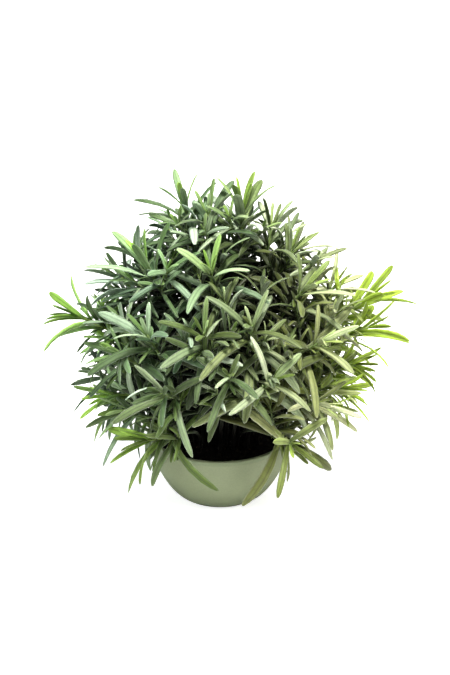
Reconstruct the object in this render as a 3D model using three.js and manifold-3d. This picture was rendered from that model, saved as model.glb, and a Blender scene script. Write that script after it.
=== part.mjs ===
// A lavender plant in a small bowl pot, in millimetres, +Z up, standing on the plane z = 0.
// The origin is the middle of the pot's foot. +X is to the right and -Y to the front.
// Square stems stand in plain holes in the soil and fan out into a dome. Each one carries
// crossed pairs of narrow, blunt leaves, young and upright at its tip, older and arched below.

import * as THREE from "three";
import { mergeVertices } from "three/addons/utils/BufferGeometryUtils.js";
import Module from "manifold-3d";

const wasm = await Module();
wasm.setup();

// Driving dimensions of the pot and its soil.
const POT = {
  rimRadius: 60,
  height: 55,
  footRadius: 34,
  wall: 3,
  floor: 5,
  lipRise: 1,
  lipEdges: [0.3, 0.75],
  curveRise: 1.6,
  curveFlare: 0.69,
  outerStations: [0, 0.08, 0.26, 0.58, 1],
  innerStations: [1, 0.58, 0.26, 0.09],
  sides: 32,
};
const SOIL = { top: 46, clearance: 0.35, holeDepth: 9.3, holeClearance: 0.45 };

// Driving dimensions of the stems. A stem is square, with its half diagonal given here.
const STEM = {
  crownRadius: 36,
  crownBack: 10,
  crownPull: 0.3,
  sparePlaces: 16,
  apart: 3.9,
  buried: 9,
  baseRadius: 1.7,
  tipRadius: 1,
  tipLength: 12,
  rise: 0.36,
  back: 0.3,
  bends: [0, 0.27],
  leafBase: 0.75,
};

// One row for each pair of leaves, from the lowest pair up to the youngest one at the tip.
// below: distance under the tip; tilt: angle from the stem; curl: how far the blade bends out;
// swing: how freely the pair turns round the stem to find its room.
const PAIRS = [
  { below: 37, length: 48, width: 6.9, tilt: 62, curl: 70, swing: 1 },
  { below: 26, length: 52, width: 7.3, tilt: 54, curl: 64, swing: 1 },
  { below: 16.5, length: 50, width: 7.1, tilt: 45, curl: 50, swing: 1 },
  { below: 9, length: 43, width: 6.3, tilt: 34, curl: 30, swing: 0.6 },
  { below: 4.4, length: 34, width: 5.2, tilt: 25, curl: 13, swing: 0.4 },
  { below: 1, length: 23, width: 4, tilt: 17, curl: -8, swing: 0.3 },
];
const LEAF = {
  thickness: 1.2,
  droop: 0.13,
  stations: [0.14, 0.5, 0.87],
  waist: 0.46,
  widest: 0.52,
  blunt: 0.72,
};

// The shoots seen from the front, chosen by hand. Each row is the point where its rosette
// opens (x, y, z), the azimuth and altitude of its tip, how open it is, its size and, for
// some, how far its stem is turned about itself.
const FRONT_SHOOTS = [
  [24, -73, 172, -80, 68, 1.1, 1.1, 68],
  [36, -84, 136, -48, 46, 1.1, 1.1, 60],
  [54, -72, 80, -82, 22, 1.15, 1.1, -22],
  [-46, -70, 82, -160, 8, 1.0, 1.1, 52],
  [-52, -62, 160, -140, 62, 1.0, 1.15, 52],
  [-11, -75, 168, -100, 60, 1.05, 1.0, 75],
  [-6, -44, 206, -100, 70, 1.0, 1.0, 65],
  [60, -31, 187, -28, 50, 0.85, 1.05, 75],
  [18, 8, 236, 80, 84, 0.65, 1.15, 60],
  [-25, 10, 238, 160, 74, 0.75, 1.0, 15],
  [-53, -12, 197, 172, 60, 0.6, 1.15, 22],
  [40, 20, 216, 55, 74, 0.8, 0.95, 40],
  [52, 8, 200, 20, 60, 0.85, 0.95, 40],
  [86, 4, 174, 0, 52, 0.8, 1.0, 30],
  [110, -6, 169, 0, 36, 0.55, 1.1, 20],
  [108, -15, 149, -2, 26, 0.6, 1.0, 10],
  [97, -20, 124, -12, 2, 0.8, 0.85, 0],
  [88, -34, 110, -18, -2, 0.8, 0.9, 80],
  [-106, -6, 157, 184, 22, 0.6, 1.0, 70],
  [-78, -34, 104, 200, 2, 0.8, 0.9, 30],
  [-72, 8, 180, 170, 42, 0.9, 1.05, 70],
  [8, -86, 142, -95, 40, 1.0, 0.9],
  [-40, -82, 126, -120, 30, 1.0, 0.95],
  [-71, -50, 142, -145, 42, 1.0, 1.0, 40],
  [72, -52, 154, -42, 38, 1.0, 1.05, 50],
  [72, -58, 108, -42, 10, 1.0, 0.95, 10],
  [-8, 4, 232, -150, 80, 0.8, 1.05, 60],
  [-66, -50, 98, -152, 10, 0.95, 0.95, 60],
];

// The shoots at the back, in tiers that run from end to end of an arc round the plant.
const BACK_TIERS = [
  { count: 6, radius: 84, height: 98, altitude: 2, from: 12, to: 168 },
  { count: 5, radius: 86, height: 142, altitude: 24, from: 24, to: 156 },
  { count: 4, radius: 68, height: 184, altitude: 46, from: 36, to: 144 },
  { count: 2, radius: 42, height: 212, altitude: 66, from: 66, to: 124 },
];

// How far the back shoots and the leaves stray from their rows: plus or minus one value in
// millimetres, degrees or parts of the length, or between a least and a greatest factor.
const BACK_STRAY = { radius: 6, height: 7, azimuth: 10, altitude: 6, open: [0.85, 1.05], size: [0.9, 1.08] };
const LEAF_STRAY = { turn: 10, tilt: 9, curl: 18, length: [0.84, 1.08], width: [0.74, 1.04], twist: 30, sway: 0.14 };

// Room kept between sampled spots on two blades, so that they never cross, and round the pot.
const ROOM = { leaf: 3.4, stem: 3.7, ownLeaf: 2.6, ownFrom: 0.2, potRadius: 63, potHeight: 59, floor: 4 };
const SAMPLES = { along: 18, across: [-0.95, -0.45, 0, 0.45, 0.95], stem: 90 };
const TRIES = {
  lengths: [1, 0.88, 0.76, 0.64],
  turns: [0, 13, -13, 26, -26, 39, -39],
  tilts: [0, -13, 13, -26],
  leastTilt: 12,
  leastTiltBySwing: 14,
};

const COLOURS = {
  pot: { color: "#8c997a", roughness: 0.55 },
  soil: { color: "#1d1712", roughness: 0.95 },
  leaf: { color: "#82926d", roughness: 0.8 },
};

const UP = new THREE.Vector3(0, 0, 1);
const GOLDEN_ANGLE = THREE.MathUtils.degToRad(137.508);
const MERGE_WITHIN = 1e-4;
const CORNERS = [0, 1, 2, 3];
const radians = THREE.MathUtils.degToRad;
const vector = (x, y, z) => new THREE.Vector3(x, y, z);
const ringPoint = (radius, height) => new THREE.Vector2(radius, height);

// A seeded draw, so that every run grows the same plant.
let seed = 20731;
function draw(low, high) {
  seed = (seed * 16807) % 2147483647;
  return low + (high - low) * (seed / 2147483647);
}

const stray = (most) => draw(-most, most);

// A closed mesh as a solid that can be cut, and the way back.
function solidOf(geometry) {
  const bare = geometry.clone();
  for (const name of Object.keys(bare.attributes)) {
    if (name !== "position") bare.deleteAttribute(name);
  }
  const merged = mergeVertices(bare, MERGE_WITHIN);
  return new wasm.Manifold(
    new wasm.Mesh({
      numProp: 3,
      vertProperties: merged.attributes.position.array,
      triVerts: new Uint32Array(merged.index.array),
    }),
  );
}

function geometryOf(solid) {
  const mesh = solid.getMesh();
  return new THREE.BufferGeometry()
    .setAttribute("position", new THREE.BufferAttribute(mesh.vertProperties, 3))
    .setIndex(new THREE.BufferAttribute(mesh.triVerts, 1));
}

// The bowl's outer radius at a height: a round heel that flares and then stands up to the rim.
function bowlRadius(height) {
  const share = 1 - (1 - Math.min(height / POT.height, 1)) ** POT.curveRise;
  return POT.footRadius + (POT.rimRadius - POT.footRadius) * share ** POT.curveFlare;
}

// The points of the bowl's inside, from the rim down to its floor.
function innerWall() {
  return POT.innerStations.map((share) => {
    const height = Math.max(share * POT.height, POT.floor);
    return ringPoint(bowlRadius(height) - POT.wall, height);
  });
}

function makePot() {
  const outer = POT.outerStations.map((share) => {
    const height = share * POT.height;
    return ringPoint(bowlRadius(height), height);
  });
  const lip = POT.lipEdges.map((share) =>
    ringPoint(POT.rimRadius - POT.wall * share, POT.height + POT.lipRise),
  );
  // The profile runs anticlockwise, from the foot's middle round to the middle of the floor.
  const profile = [ringPoint(0, 0), ...outer, ...lip, ...innerWall(), ringPoint(0, POT.floor)];
  return new THREE.LatheGeometry(profile, POT.sides).rotateX(Math.PI / 2);
}

function makeSoil(shoots) {
  const [rim, high, ...low] = innerWall();
  const share = (SOIL.top - high.y) / (rim.y - high.y);
  const surface = ringPoint(THREE.MathUtils.lerp(high.x, rim.x, share), SOIL.top);
  const side = [...low.reverse(), high, surface].map(({ x }, i, wall) => {
    const height = i === wall.length - 1 ? SOIL.top : wall[i].y + SOIL.clearance;
    return ringPoint(x - SOIL.clearance, height);
  });
  const profile = [ringPoint(0, side[0].y), ...side, ringPoint(0, SOIL.top)];
  let soil = solidOf(new THREE.LatheGeometry(profile, POT.sides).rotateX(Math.PI / 2));
  const radius = STEM.baseRadius + SOIL.holeClearance;
  for (const { root, roll } of shoots) {
    const hole = new THREE.CylinderGeometry(radius, radius, 2 * SOIL.holeDepth, CORNERS.length)
      .rotateX(Math.PI / 2)
      .rotateZ(roll + Math.PI / 4)
      .translate(root.x, root.y, SOIL.top);
    soil = soil.subtract(solidOf(hole));
  }
  return geometryOf(soil);
}

// The list of shoots as rosette points and tip directions, front ones first.
function listShoots() {
  const rows = [...FRONT_SHOOTS];
  for (const tier of BACK_TIERS) {
    for (let i = 0; i < tier.count; i++) {
      const azimuth = tier.from + ((tier.to - tier.from) * i) / (tier.count - 1);
      const radius = tier.radius + stray(BACK_STRAY.radius);
      const x = radius * Math.cos(radians(azimuth));
      const y = radius * Math.sin(radians(azimuth));
      const z = tier.height + stray(BACK_STRAY.height);
      const turn = azimuth + stray(BACK_STRAY.azimuth);
      const lift = tier.altitude + stray(BACK_STRAY.altitude);
      rows.push([x, y, z, turn, lift, draw(...BACK_STRAY.open), draw(...BACK_STRAY.size)]);
    }
  }
  return rows;
}

// The free places of the crown, spaced on a golden-angle spiral.
function listPlaces(count) {
  return Array.from({ length: count }, (_, i) => {
    const radius = STEM.crownRadius * Math.sqrt((i + 0.5) / count);
    const turn = i * GOLDEN_ANGLE;
    return vector(radius * Math.cos(turn), radius * Math.sin(turn) + STEM.crownBack, SOIL.top);
  });
}

// A stem's centre line: straight up out of the soil, then over to the rosette and its tip.
function makeCurve([x, y, z, azimuth, altitude], root) {
  const turn = radians(azimuth);
  const lift = radians(altitude);
  const axis = vector(Math.cos(lift) * Math.cos(turn), Math.cos(lift) * Math.sin(turn), Math.sin(lift));
  const rosette = vector(x, y, z);
  const reach = rosette.distanceTo(root);
  return new THREE.CubicBezierCurve3(
    root,
    root.clone().addScaledVector(UP, STEM.rise * reach),
    rosette.clone().addScaledVector(axis, -STEM.back * reach),
    rosette.clone().addScaledVector(axis, STEM.tipLength),
  );
}

const curveSamples = (curve) =>
  Array.from({ length: SAMPLES.stem }, (_, i) => curve.getPoint(i / (SAMPLES.stem - 1)));

// Roots a shoot in the free place nearest below it from which its stem clears the others.
function rootShoot(row, places, shoots) {
  const [x, y] = row;
  const wanted = vector(STEM.crownPull * x, STEM.crownPull * y + STEM.crownBack, SOIL.top);
  places.sort((a, b) => a.distanceTo(wanted) - b.distanceTo(wanted));
  const clear = (place) => {
    const samples = curveSamples(makeCurve(row, place));
    return !shoots.some((other) => anyCloser(samples, other.samples, STEM.apart));
  };
  const index = Math.max(0, places.findIndex(clear));
  return places.splice(index, 1)[0];
}

// The square sections along a stem, each turned as little as can be from the one before.
// Two sections close together hold the bases of a pair of leaves.
function makeShoot(row, root) {
  const [open, size, chosenRoll] = row.slice(5);
  const curve = makeCurve(row, root);
  const tipSpeed = 3 * curve.v2.distanceTo(curve.v3);
  const shares = [...STEM.bends];
  for (const { below } of PAIRS) {
    shares.push(1 - (below + STEM.leafBase) / tipSpeed, 1 - (below - STEM.leafBase) / tipSpeed);
  }
  const drawnRoll = draw(0, 90);
  const roll = radians(chosenRoll ?? drawnRoll);
  let side = vector(Math.cos(roll), Math.sin(roll), 0);
  const sections = shares.map((share) => {
    const along = curve.getTangent(share);
    side = side.clone().addScaledVector(along, -side.dot(along)).normalize();
    const front = new THREE.Vector3().crossVectors(along, side);
    const radius = THREE.MathUtils.lerp(STEM.baseRadius, STEM.tipRadius, share);
    return { point: curve.getPoint(share), along, side, front, radius };
  });
  const foot = { ...sections[0], point: root.clone().setZ(SOIL.top - STEM.buried) };
  return {
    root,
    roll,
    open,
    size,
    sections: [foot, ...sections],
    samples: curveSamples(curve),
    tip: curve.getPoint(1),
    leaves: [],
  };
}

// Half the blade's width at a share of its length: a narrow base, widest past the middle,
// and a blunt round tip.
function halfWidth(width, share) {
  const body = LEAF.waist + (1 - LEAF.waist) * Math.sin((Math.PI / 2) * Math.min(share / LEAF.widest, 1));
  const tip = Math.sqrt(1 - Math.max(0, (share - LEAF.blunt) / (1 - LEAF.blunt)) ** 2);
  return (width / 2) * body * tip;
}

// The blade's centre line is an arc in the plane of the stem and the leaf, which also sways
// sideways and hangs. side points across the blade and face out of its upper surface.
function bladeFrame(leaf, share) {
  const angle = leaf.tilt + leaf.curl * share;
  const rise = (Math.sin(angle) - Math.sin(leaf.tilt)) / leaf.curl;
  const run = (Math.cos(leaf.tilt) - Math.cos(angle)) / leaf.curl;
  const across = new THREE.Vector3().crossVectors(leaf.along, leaf.out);
  const point = leaf.base
    .clone()
    .addScaledVector(leaf.along, rise * leaf.length)
    .addScaledVector(leaf.out, run * leaf.length)
    .addScaledVector(across, leaf.sway * leaf.length * share * share)
    .addScaledVector(UP, -LEAF.droop * leaf.length * share * share);
  const upper = leaf.along
    .clone()
    .multiplyScalar(Math.sin(angle))
    .addScaledVector(leaf.out, -Math.cos(angle));
  const twist = leaf.twist * share;
  const side = across.clone().multiplyScalar(Math.cos(twist)).addScaledVector(upper, Math.sin(twist));
  const face = upper.multiplyScalar(Math.cos(twist)).addScaledVector(across, -Math.sin(twist));
  return { point, side, face };
}

function bladeSamples(leaf) {
  const spots = [];
  for (let i = 0; i < SAMPLES.along; i++) {
    const share = (i + 0.5) / SAMPLES.along;
    const { point, side } = bladeFrame(leaf, share);
    for (const offset of SAMPLES.across) {
      spots.push(point.clone().addScaledVector(side, offset * halfWidth(leaf.width, share)));
    }
  }
  return spots;
}

const anyCloser = (spots, others, room) =>
  spots.some((a) => others.some((b) => a.distanceToSquared(b) < room * room));

// True where a leaf clears the pot, every other stem, and every blade placed before it.
function isClear(leaf, spots, shoot, shoots) {
  for (const spot of spots) {
    const inPot = spot.z < ROOM.potHeight && Math.hypot(spot.x, spot.y) < ROOM.potRadius;
    if (inPot || spot.z < ROOM.floor) return false;
  }
  const middle = spots[Math.floor(spots.length / 2)];
  const outerPart = spots.slice(Math.floor(SAMPLES.along * ROOM.ownFrom) * SAMPLES.across.length);
  for (const other of shoots) {
    if (other !== shoot && anyCloser(spots, other.samples, ROOM.stem)) return false;
    for (const placed of other.leaves) {
      if (placed.middle.distanceTo(middle) > (placed.length + leaf.length) / 2 + ROOM.leaf) continue;
      const crosses =
        other === shoot
          ? anyCloser(outerPart, placed.outerPart, ROOM.ownLeaf)
          : anyCloser(spots, placed.spots, ROOM.leaf);
      if (crosses) return false;
    }
  }
  Object.assign(leaf, { spots, middle, outerPart });
  return true;
}

// Grows one leaf of a pair from a flat side of the stem, bent a little further from its
// wanted place until it is clear of the rest.
function growLeaf(shoot, shoots, order, opposite) {
  const pair = PAIRS[order];
  const start = 1 + STEM.bends.length + 2 * order;
  const { point, along, side, front, radius } = shoot.sections[start];
  const flat = (order % 2) + 2 * opposite;
  const outward = (angle) =>
    side.clone().multiplyScalar(Math.cos(angle)).addScaledVector(front, Math.sin(angle));
  const base = point
    .clone()
    .addScaledVector(along, STEM.leafBase)
    .addScaledVector(outward((flat * Math.PI) / 2), radius * Math.SQRT1_2);
  const wanted = {
    turn: 90 * flat + stray(LEAF_STRAY.turn) * pair.swing,
    tilt: pair.tilt * shoot.open + stray(LEAF_STRAY.tilt) * pair.swing,
    length: pair.length * shoot.size * draw(...LEAF_STRAY.length),
    curl: radians((pair.curl + stray(LEAF_STRAY.curl) * pair.swing) * shoot.open),
    twist: radians(stray(LEAF_STRAY.twist)),
    sway: stray(LEAF_STRAY.sway) * pair.swing,
    width: pair.width * shoot.size * draw(...LEAF_STRAY.width),
  };
  for (const shorten of TRIES.lengths) {
    for (const tilt of TRIES.tilts) {
      for (const turn of TRIES.turns) {
        const tilted = wanted.tilt + tilt * pair.swing;
        const leaf = {
          start,
          flat,
          base,
          along,
          out: outward(radians(wanted.turn + turn * pair.swing)),
          tilt: radians(Math.max(tilted, TRIES.leastTilt + TRIES.leastTiltBySwing * pair.swing)),
          curl: wanted.curl,
          length: wanted.length * shorten,
          width: wanted.width,
          twist: wanted.twist,
          sway: wanted.sway,
        };
        if (isClear(leaf, bladeSamples(leaf), shoot, shoots)) {
          shoot.leaves.push(leaf);
          return;
        }
      }
    }
  }
}

// The skin of a stem and its leaves in one: each leaf grows out of one flat side between two
// sections of the stem.
function makeShootSkin(shoot) {
  const points = [];
  const faces = [];
  const addRing = (ring) => ring.map((point) => points.push(point) - 1);
  const addQuad = (a, b, c, d) => faces.push(a, b, c, a, c, d);
  const flatSide = (lower, upper, flat) => {
    const before = (flat + CORNERS.length - 1) % CORNERS.length;
    return [lower[before], lower[flat], upper[flat], upper[before]];
  };
  const square = ({ point, side, front, radius }) =>
    CORNERS.map((corner) => {
      const turn = ((corner + 0.5) * Math.PI) / 2;
      return point
        .clone()
        .addScaledVector(side, radius * Math.cos(turn))
        .addScaledVector(front, radius * Math.sin(turn));
    });
  const rings = shoot.sections.map((section) => addRing(square(section)));
  const [a, b, c, d] = rings[0];
  addQuad(d, c, b, a);
  for (let i = 0; i < rings.length - 1; i++) {
    for (const flat of CORNERS) {
      const hasLeaf = shoot.leaves.some((leaf) => leaf.start === i && leaf.flat === flat);
      if (!hasLeaf) addQuad(...flatSide(rings[i], rings[i + 1], flat));
    }
  }
  const last = rings[rings.length - 1];
  const tip = points.push(shoot.tip) - 1;
  for (const corner of CORNERS) faces.push(last[corner], last[(corner + 1) % CORNERS.length], tip);

  for (const leaf of shoot.leaves) {
    const [low, lowNext, highNext, high] = flatSide(rings[leaf.start], rings[leaf.start + 1], leaf.flat);
    const blade = LEAF.stations.map((share) => {
      const { point, side, face } = bladeFrame(leaf, share);
      const half = halfWidth(leaf.width, share);
      return addRing([
        point.clone().addScaledVector(side, -half),
        point.clone().addScaledVector(side, half),
        point.clone().addScaledVector(face, LEAF.thickness),
      ]);
    });
    const [left, right, ridge] = blade[0];
    addQuad(low, lowNext, right, left);
    addQuad(highNext, ridge, right, lowNext);
    faces.push(highNext, high, ridge);
    addQuad(high, low, left, ridge);
    for (let row = 1; row < blade.length; row++) {
      for (let i = 0; i < 3; i++) {
        const next = (i + 1) % 3;
        addQuad(blade[row - 1][i], blade[row - 1][next], blade[row][next], blade[row][i]);
      }
    }
    const end = bladeFrame(leaf, 1);
    const point = points.push(end.point.addScaledVector(end.face, LEAF.thickness / 2)) - 1;
    const final = blade[blade.length - 1];
    for (let i = 0; i < 3; i++) faces.push(final[i], final[(i + 1) % 3], point);
  }
  return new THREE.BufferGeometry().setFromPoints(points).setIndex(faces);
}

function growShoots() {
  const rows = listShoots();
  const places = listPlaces(rows.length + STEM.sparePlaces);
  const shoots = [];
  for (const row of rows) shoots.push(makeShoot(row, rootShoot(row, places, shoots)));
  for (let order = PAIRS.length - 1; order >= 0; order--) {
    for (const shoot of shoots) {
      growLeaf(shoot, shoots, order, 0);
      growLeaf(shoot, shoots, order, 1);
    }
  }
  return shoots;
}

function material({ color, roughness }) {
  return new THREE.MeshStandardMaterial({ color, roughness, metalness: 0 });
}

const plant = new THREE.Group();
function add(name, geometry, finish) {
  const mesh = new THREE.Mesh(geometry, finish);
  mesh.name = name;
  plant.add(mesh);
}

const shoots = growShoots();
const leafFinish = material(COLOURS.leaf);
add("pot", makePot(), material(COLOURS.pot));
add("soil", makeSoil(shoots), material(COLOURS.soil));
shoots.forEach((shoot, i) => {
  add("shoot_" + String(i + 1).padStart(2, "0"), makeShootSkin(shoot), leafFinish);
});

export default plant;
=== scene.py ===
"""A bushy lavender plant without flowers in a small sage-green bowl pot.

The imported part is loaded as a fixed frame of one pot, one soil body and 45 leafy stems. This script
grows the same plant again by the same rule, in millimetres, and puts a finer stem and finer blades
where each plain one is. It then adds side sprigs, lower leaves and leaflets in the axils, in the
room that is left, and gives the pot, the soil and the foliage their finish.
"""

import math

import bpy
import numpy as np
from bpy.props import FloatProperty, FloatVectorProperty, IntProperty, PointerProperty
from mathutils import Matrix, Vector


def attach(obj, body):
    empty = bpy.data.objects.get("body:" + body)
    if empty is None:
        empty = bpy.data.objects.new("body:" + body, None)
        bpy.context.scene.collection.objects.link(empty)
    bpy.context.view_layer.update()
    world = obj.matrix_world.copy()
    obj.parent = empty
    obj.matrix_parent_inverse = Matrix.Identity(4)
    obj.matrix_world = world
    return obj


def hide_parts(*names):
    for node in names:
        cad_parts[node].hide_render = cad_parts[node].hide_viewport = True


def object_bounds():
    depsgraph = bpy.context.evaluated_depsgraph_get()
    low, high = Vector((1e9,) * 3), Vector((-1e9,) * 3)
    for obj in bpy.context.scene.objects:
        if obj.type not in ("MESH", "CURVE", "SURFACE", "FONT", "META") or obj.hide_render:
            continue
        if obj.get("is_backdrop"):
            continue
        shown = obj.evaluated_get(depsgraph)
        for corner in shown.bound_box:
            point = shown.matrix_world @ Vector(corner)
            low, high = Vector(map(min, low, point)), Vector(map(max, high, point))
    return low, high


bl_info = {
    "name": "Potted Lavender",
    "version": (1, 0, 0),
    "blender": (4, 5, 0),
    "location": "3D View > Sidebar > Lavender",
    "description": "Builds the finished surfaces of a potted lavender plant round its packed frame",
    "category": "Add Mesh",
}

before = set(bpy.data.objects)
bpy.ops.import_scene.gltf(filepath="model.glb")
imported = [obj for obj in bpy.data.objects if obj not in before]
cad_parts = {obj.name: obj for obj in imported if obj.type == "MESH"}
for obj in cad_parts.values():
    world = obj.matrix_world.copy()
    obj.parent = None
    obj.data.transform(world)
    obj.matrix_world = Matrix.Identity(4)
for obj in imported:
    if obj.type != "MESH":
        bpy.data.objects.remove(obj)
CAD_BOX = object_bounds()
BODY = "root"
MM = 0.001
UP = np.array([0.0, 0.0, 1.0])

# The pot and its soil, as the frame has them, in millimetres.
POT = {
    "rim_radius": 60.0,
    "height": 55.0,
    "foot_radius": 34.0,
    "wall": 3.0,
    "floor": 5.0,
    "lip_rise": 1.0,
    "curve_rise": 1.6,
    "curve_flare": 0.69,
}
SOIL = {"top": 46.0, "clearance": 0.35, "bottom": 5.4}

# The stems and leaves, as the frame has them. A stem is square, with its half diagonal given.
STEM = {
    "crown_radius": 36.0,
    "crown_back": 10.0,
    "crown_pull": 0.3,
    "spare_places": 16,
    "apart": 3.9,
    "buried": 9.0,
    "base_radius": 1.7,
    "tip_radius": 1.0,
    "tip_length": 12.0,
    "rise": 0.36,
    "back": 0.3,
    "bends": (0.0, 0.27),
    "leaf_base": 0.75,
}
# Rows are: distance under the tip, length, width, tilt, curl and swing, lowest pair first.
PAIRS = (
    (37.0, 48.0, 6.9, 62.0, 70.0, 1.0),
    (26.0, 52.0, 7.3, 54.0, 64.0, 1.0),
    (16.5, 50.0, 7.1, 45.0, 50.0, 1.0),
    (9.0, 43.0, 6.3, 34.0, 30.0, 0.6),
    (4.4, 34.0, 5.2, 25.0, 13.0, 0.4),
    (1.0, 23.0, 4.0, 17.0, -8.0, 0.3),
)
LEAF = {"droop": 0.13, "waist": 0.46, "widest": 0.52, "blunt": 0.72}
# Rows are: x, y, z of the rosette, azimuth and altitude of the tip, how open it is, its size and,
# for some, how far its stem is turned about itself.
FRONT_SHOOTS = (
    (24, -73, 172, -80, 68, 1.1, 1.1, 68),
    (36, -84, 136, -48, 46, 1.1, 1.1, 60),
    (54, -72, 80, -82, 22, 1.15, 1.1, -22),
    (-46, -70, 82, -160, 8, 1.0, 1.1, 52),
    (-52, -62, 160, -140, 62, 1.0, 1.15, 52),
    (-11, -75, 168, -100, 60, 1.05, 1.0, 75),
    (-6, -44, 206, -100, 70, 1.0, 1.0, 65),
    (60, -31, 187, -28, 50, 0.85, 1.05, 75),
    (18, 8, 236, 80, 84, 0.65, 1.15, 60),
    (-25, 10, 238, 160, 74, 0.75, 1.0, 15),
    (-53, -12, 197, 172, 60, 0.6, 1.15, 22),
    (40, 20, 216, 55, 74, 0.8, 0.95, 40),
    (52, 8, 200, 20, 60, 0.85, 0.95, 40),
    (86, 4, 174, 0, 52, 0.8, 1.0, 30),
    (110, -6, 169, 0, 36, 0.55, 1.1, 20),
    (108, -15, 149, -2, 26, 0.6, 1.0, 10),
    (97, -20, 124, -12, 2, 0.8, 0.85, 0),
    (88, -34, 110, -18, -2, 0.8, 0.9, 80),
    (-106, -6, 157, 184, 22, 0.6, 1.0, 70),
    (-78, -34, 104, 200, 2, 0.8, 0.9, 30),
    (-72, 8, 180, 170, 42, 0.9, 1.05, 70),
    (8, -86, 142, -95, 40, 1.0, 0.9),
    (-40, -82, 126, -120, 30, 1.0, 0.95),
    (-71, -50, 142, -145, 42, 1.0, 1.0, 40),
    (72, -52, 154, -42, 38, 1.0, 1.05, 50),
    (72, -58, 108, -42, 10, 1.0, 0.95, 10),
    (-8, 4, 232, -150, 80, 0.8, 1.05, 60),
    (-66, -50, 98, -152, 10, 0.95, 0.95, 60),
)
# Rows are: how many, radius, height, altitude, and the azimuths from and to.
BACK_TIERS = (
    (6, 84, 98, 2, 12, 168),
    (5, 86, 142, 24, 24, 156),
    (4, 68, 184, 46, 36, 144),
    (2, 42, 212, 66, 66, 124),
)
BACK_STRAY = {
    "radius": 6,
    "height": 7,
    "azimuth": 10,
    "altitude": 6,
    "open": (0.85, 1.05),
    "size": (0.9, 1.08),
}
LEAF_STRAY = {
    "turn": 10,
    "tilt": 9,
    "curl": 18,
    "length": (0.84, 1.08),
    "width": (0.74, 1.04),
    "twist": 30,
    "sway": 0.14,
}
# How far the spots of a new leaf keep from those of other leaves, of other stems and of the leaves
# on its own stem, and the room round the pot and over the floor.
ROOM = {"leaf": 3.4, "stem": 3.7, "own": 2.6, "pot_radius": 63.0, "pot_height": 59.0, "floor": 4.0}
# A leaf has rows of spots across it. The first ones lie too near its own stem's leaves to be tested.
OWN_FROM = 15
ALONG_SPOTS = (np.arange(18) + 0.5) / 18
ACROSS_SPOTS = np.array([-0.95, -0.45, 0.0, 0.45, 0.95])
STEM_SPOTS = np.linspace(0.0, 1.0, 90)
STEM_STRETCH = 15
STEM_STEPS = 241
# What is tried in turn where a leaf finds no room: shorter, tilted or turned by so many degrees.
TRY_LENGTHS = (1, 0.88, 0.76, 0.64)
TRY_TURNS = (0, 13, -13, 26, -26, 39, -39)
TRY_TILTS = (0, -13, 13, -26)
LEAST_TILT = (12, 14)
PLANT_SEED = 20731
GOLDEN_ANGLE = math.radians(137.508)
TANGENT_STEP = 1e-4

# The shoots whose young leaves are bright, by their number in the frame, and how much.
BRIGHT = {
    3: 0.25,
    4: 0.75,
    7: 0.4,
    9: 0.45,
    10: 0.4,
    11: 0.5,
    15: 1.2,
    16: 1.2,
    17: 1.0,
    18: 0.8,
    19: 0.9,
    20: 0.65,
}

# What this script adds in the room that is left: side sprigs, lower leaves and leaflets in the
# axils. Rows of pairs are as in PAIRS, and a table of tries holds shares of length, tilts and turns.
SPRIG_PAIRS = (
    (18.0, 37.0, 5.2, 68.0, 52.0, 1.0),
    (12.0, 38.0, 5.4, 56.0, 46.0, 1.0),
    (6.5, 32.0, 4.8, 40.0, 30.0, 0.8),
    (2.8, 22.0, 3.8, 28.0, 12.0, 0.5),
    (1.0, 13.0, 2.8, 16.0, -6.0, 0.3),
)
SPRIG = {
    "reaches": (44.0, 30.0, 20.0),
    "curve": (0.4, 0.7),
    "reach_in_dome": 0.88,
    "stray": (0.85, 1.15),
    "open": (0.75, 1.05),
    "turn": 28,
    "lift": 0.55,
    "rise": (0.1, 0.6),
    "rise_at_tip": 0.25,
    "bends": (0.0, 0.2),
    "base_radius": 0.9,
    "tip_radius": 0.6,
    "bare": 0.12,
    "test_spots": (0.2, 1.0, 12),
    "spots": 16,
    "least_leaves": 4,
    "least_height": 24.0,
}
SPRIG_NODES = (28.0, 38.0, 50.0, 62.0, 76.0, 92.0, 110.0, 130.0)
SPRIG_ROOM = {"leaf": 2.0, "stem": 2.2, "own": 1.5}
SPRIG_TRIES = ((1, 0.8), (0, -14, 14), (0, 18, -18))
# The ellipsoid round the plant, which the sprigs stay in and which tells inner from outer leaves:
# the inner ones are darkened with painted shade.
DOME = {"middle": np.array([3.0, 0.0, 130.0]), "radii": np.array([118.0, 104.0, 134.0])}
LOWER_PAIR = (0.0, 40.0, 5.8, 72.0, 62.0, 1.0)
LOWER_NODES = (47.0, 58.0, 70.0, 83.0, 97.0, 112.0, 128.0)
LOWER_TRIES = ((1, 0.82, 0.66), (0, -16, 14), (0, 20, -20))
LOWER_SHRINK = 0.09
LEAST_FOOT = 14
LOWEST_LEAF = 66.0
# Rows are: length, width, tilt and how far round from the larger leaf, in quarter turns.
AXIL_LEAVES = ((19.0, 3.1, 32.0, 0.3), (13.0, 2.4, 18.0, -0.3), (25.0, 3.7, 44.0, 0.0))
AXIL_CURL = 14.0
AXIL_SIZE = (0.8, 1.25)
AXIL_TRIES = ((1, 0.75, 0.55), (0, 12), (0, 16, -16))
HIGHEST_AXIL = 2
ADDED_ROOM = {"leaf": 1.9, "stem": 1.6, "own": 1.2}
ADDED_SEED = 90173
# The part of the soil that stays open to the front: x and y from and to, how fast it narrows to the
# back, and the slope of the look into it.
GAP = {
    "x": (-30.0, 42.0),
    "y": (-70.0, 45.0),
    "narrows": 0.3,
    "slope": math.tan(math.radians(24.0)),
}

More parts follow.
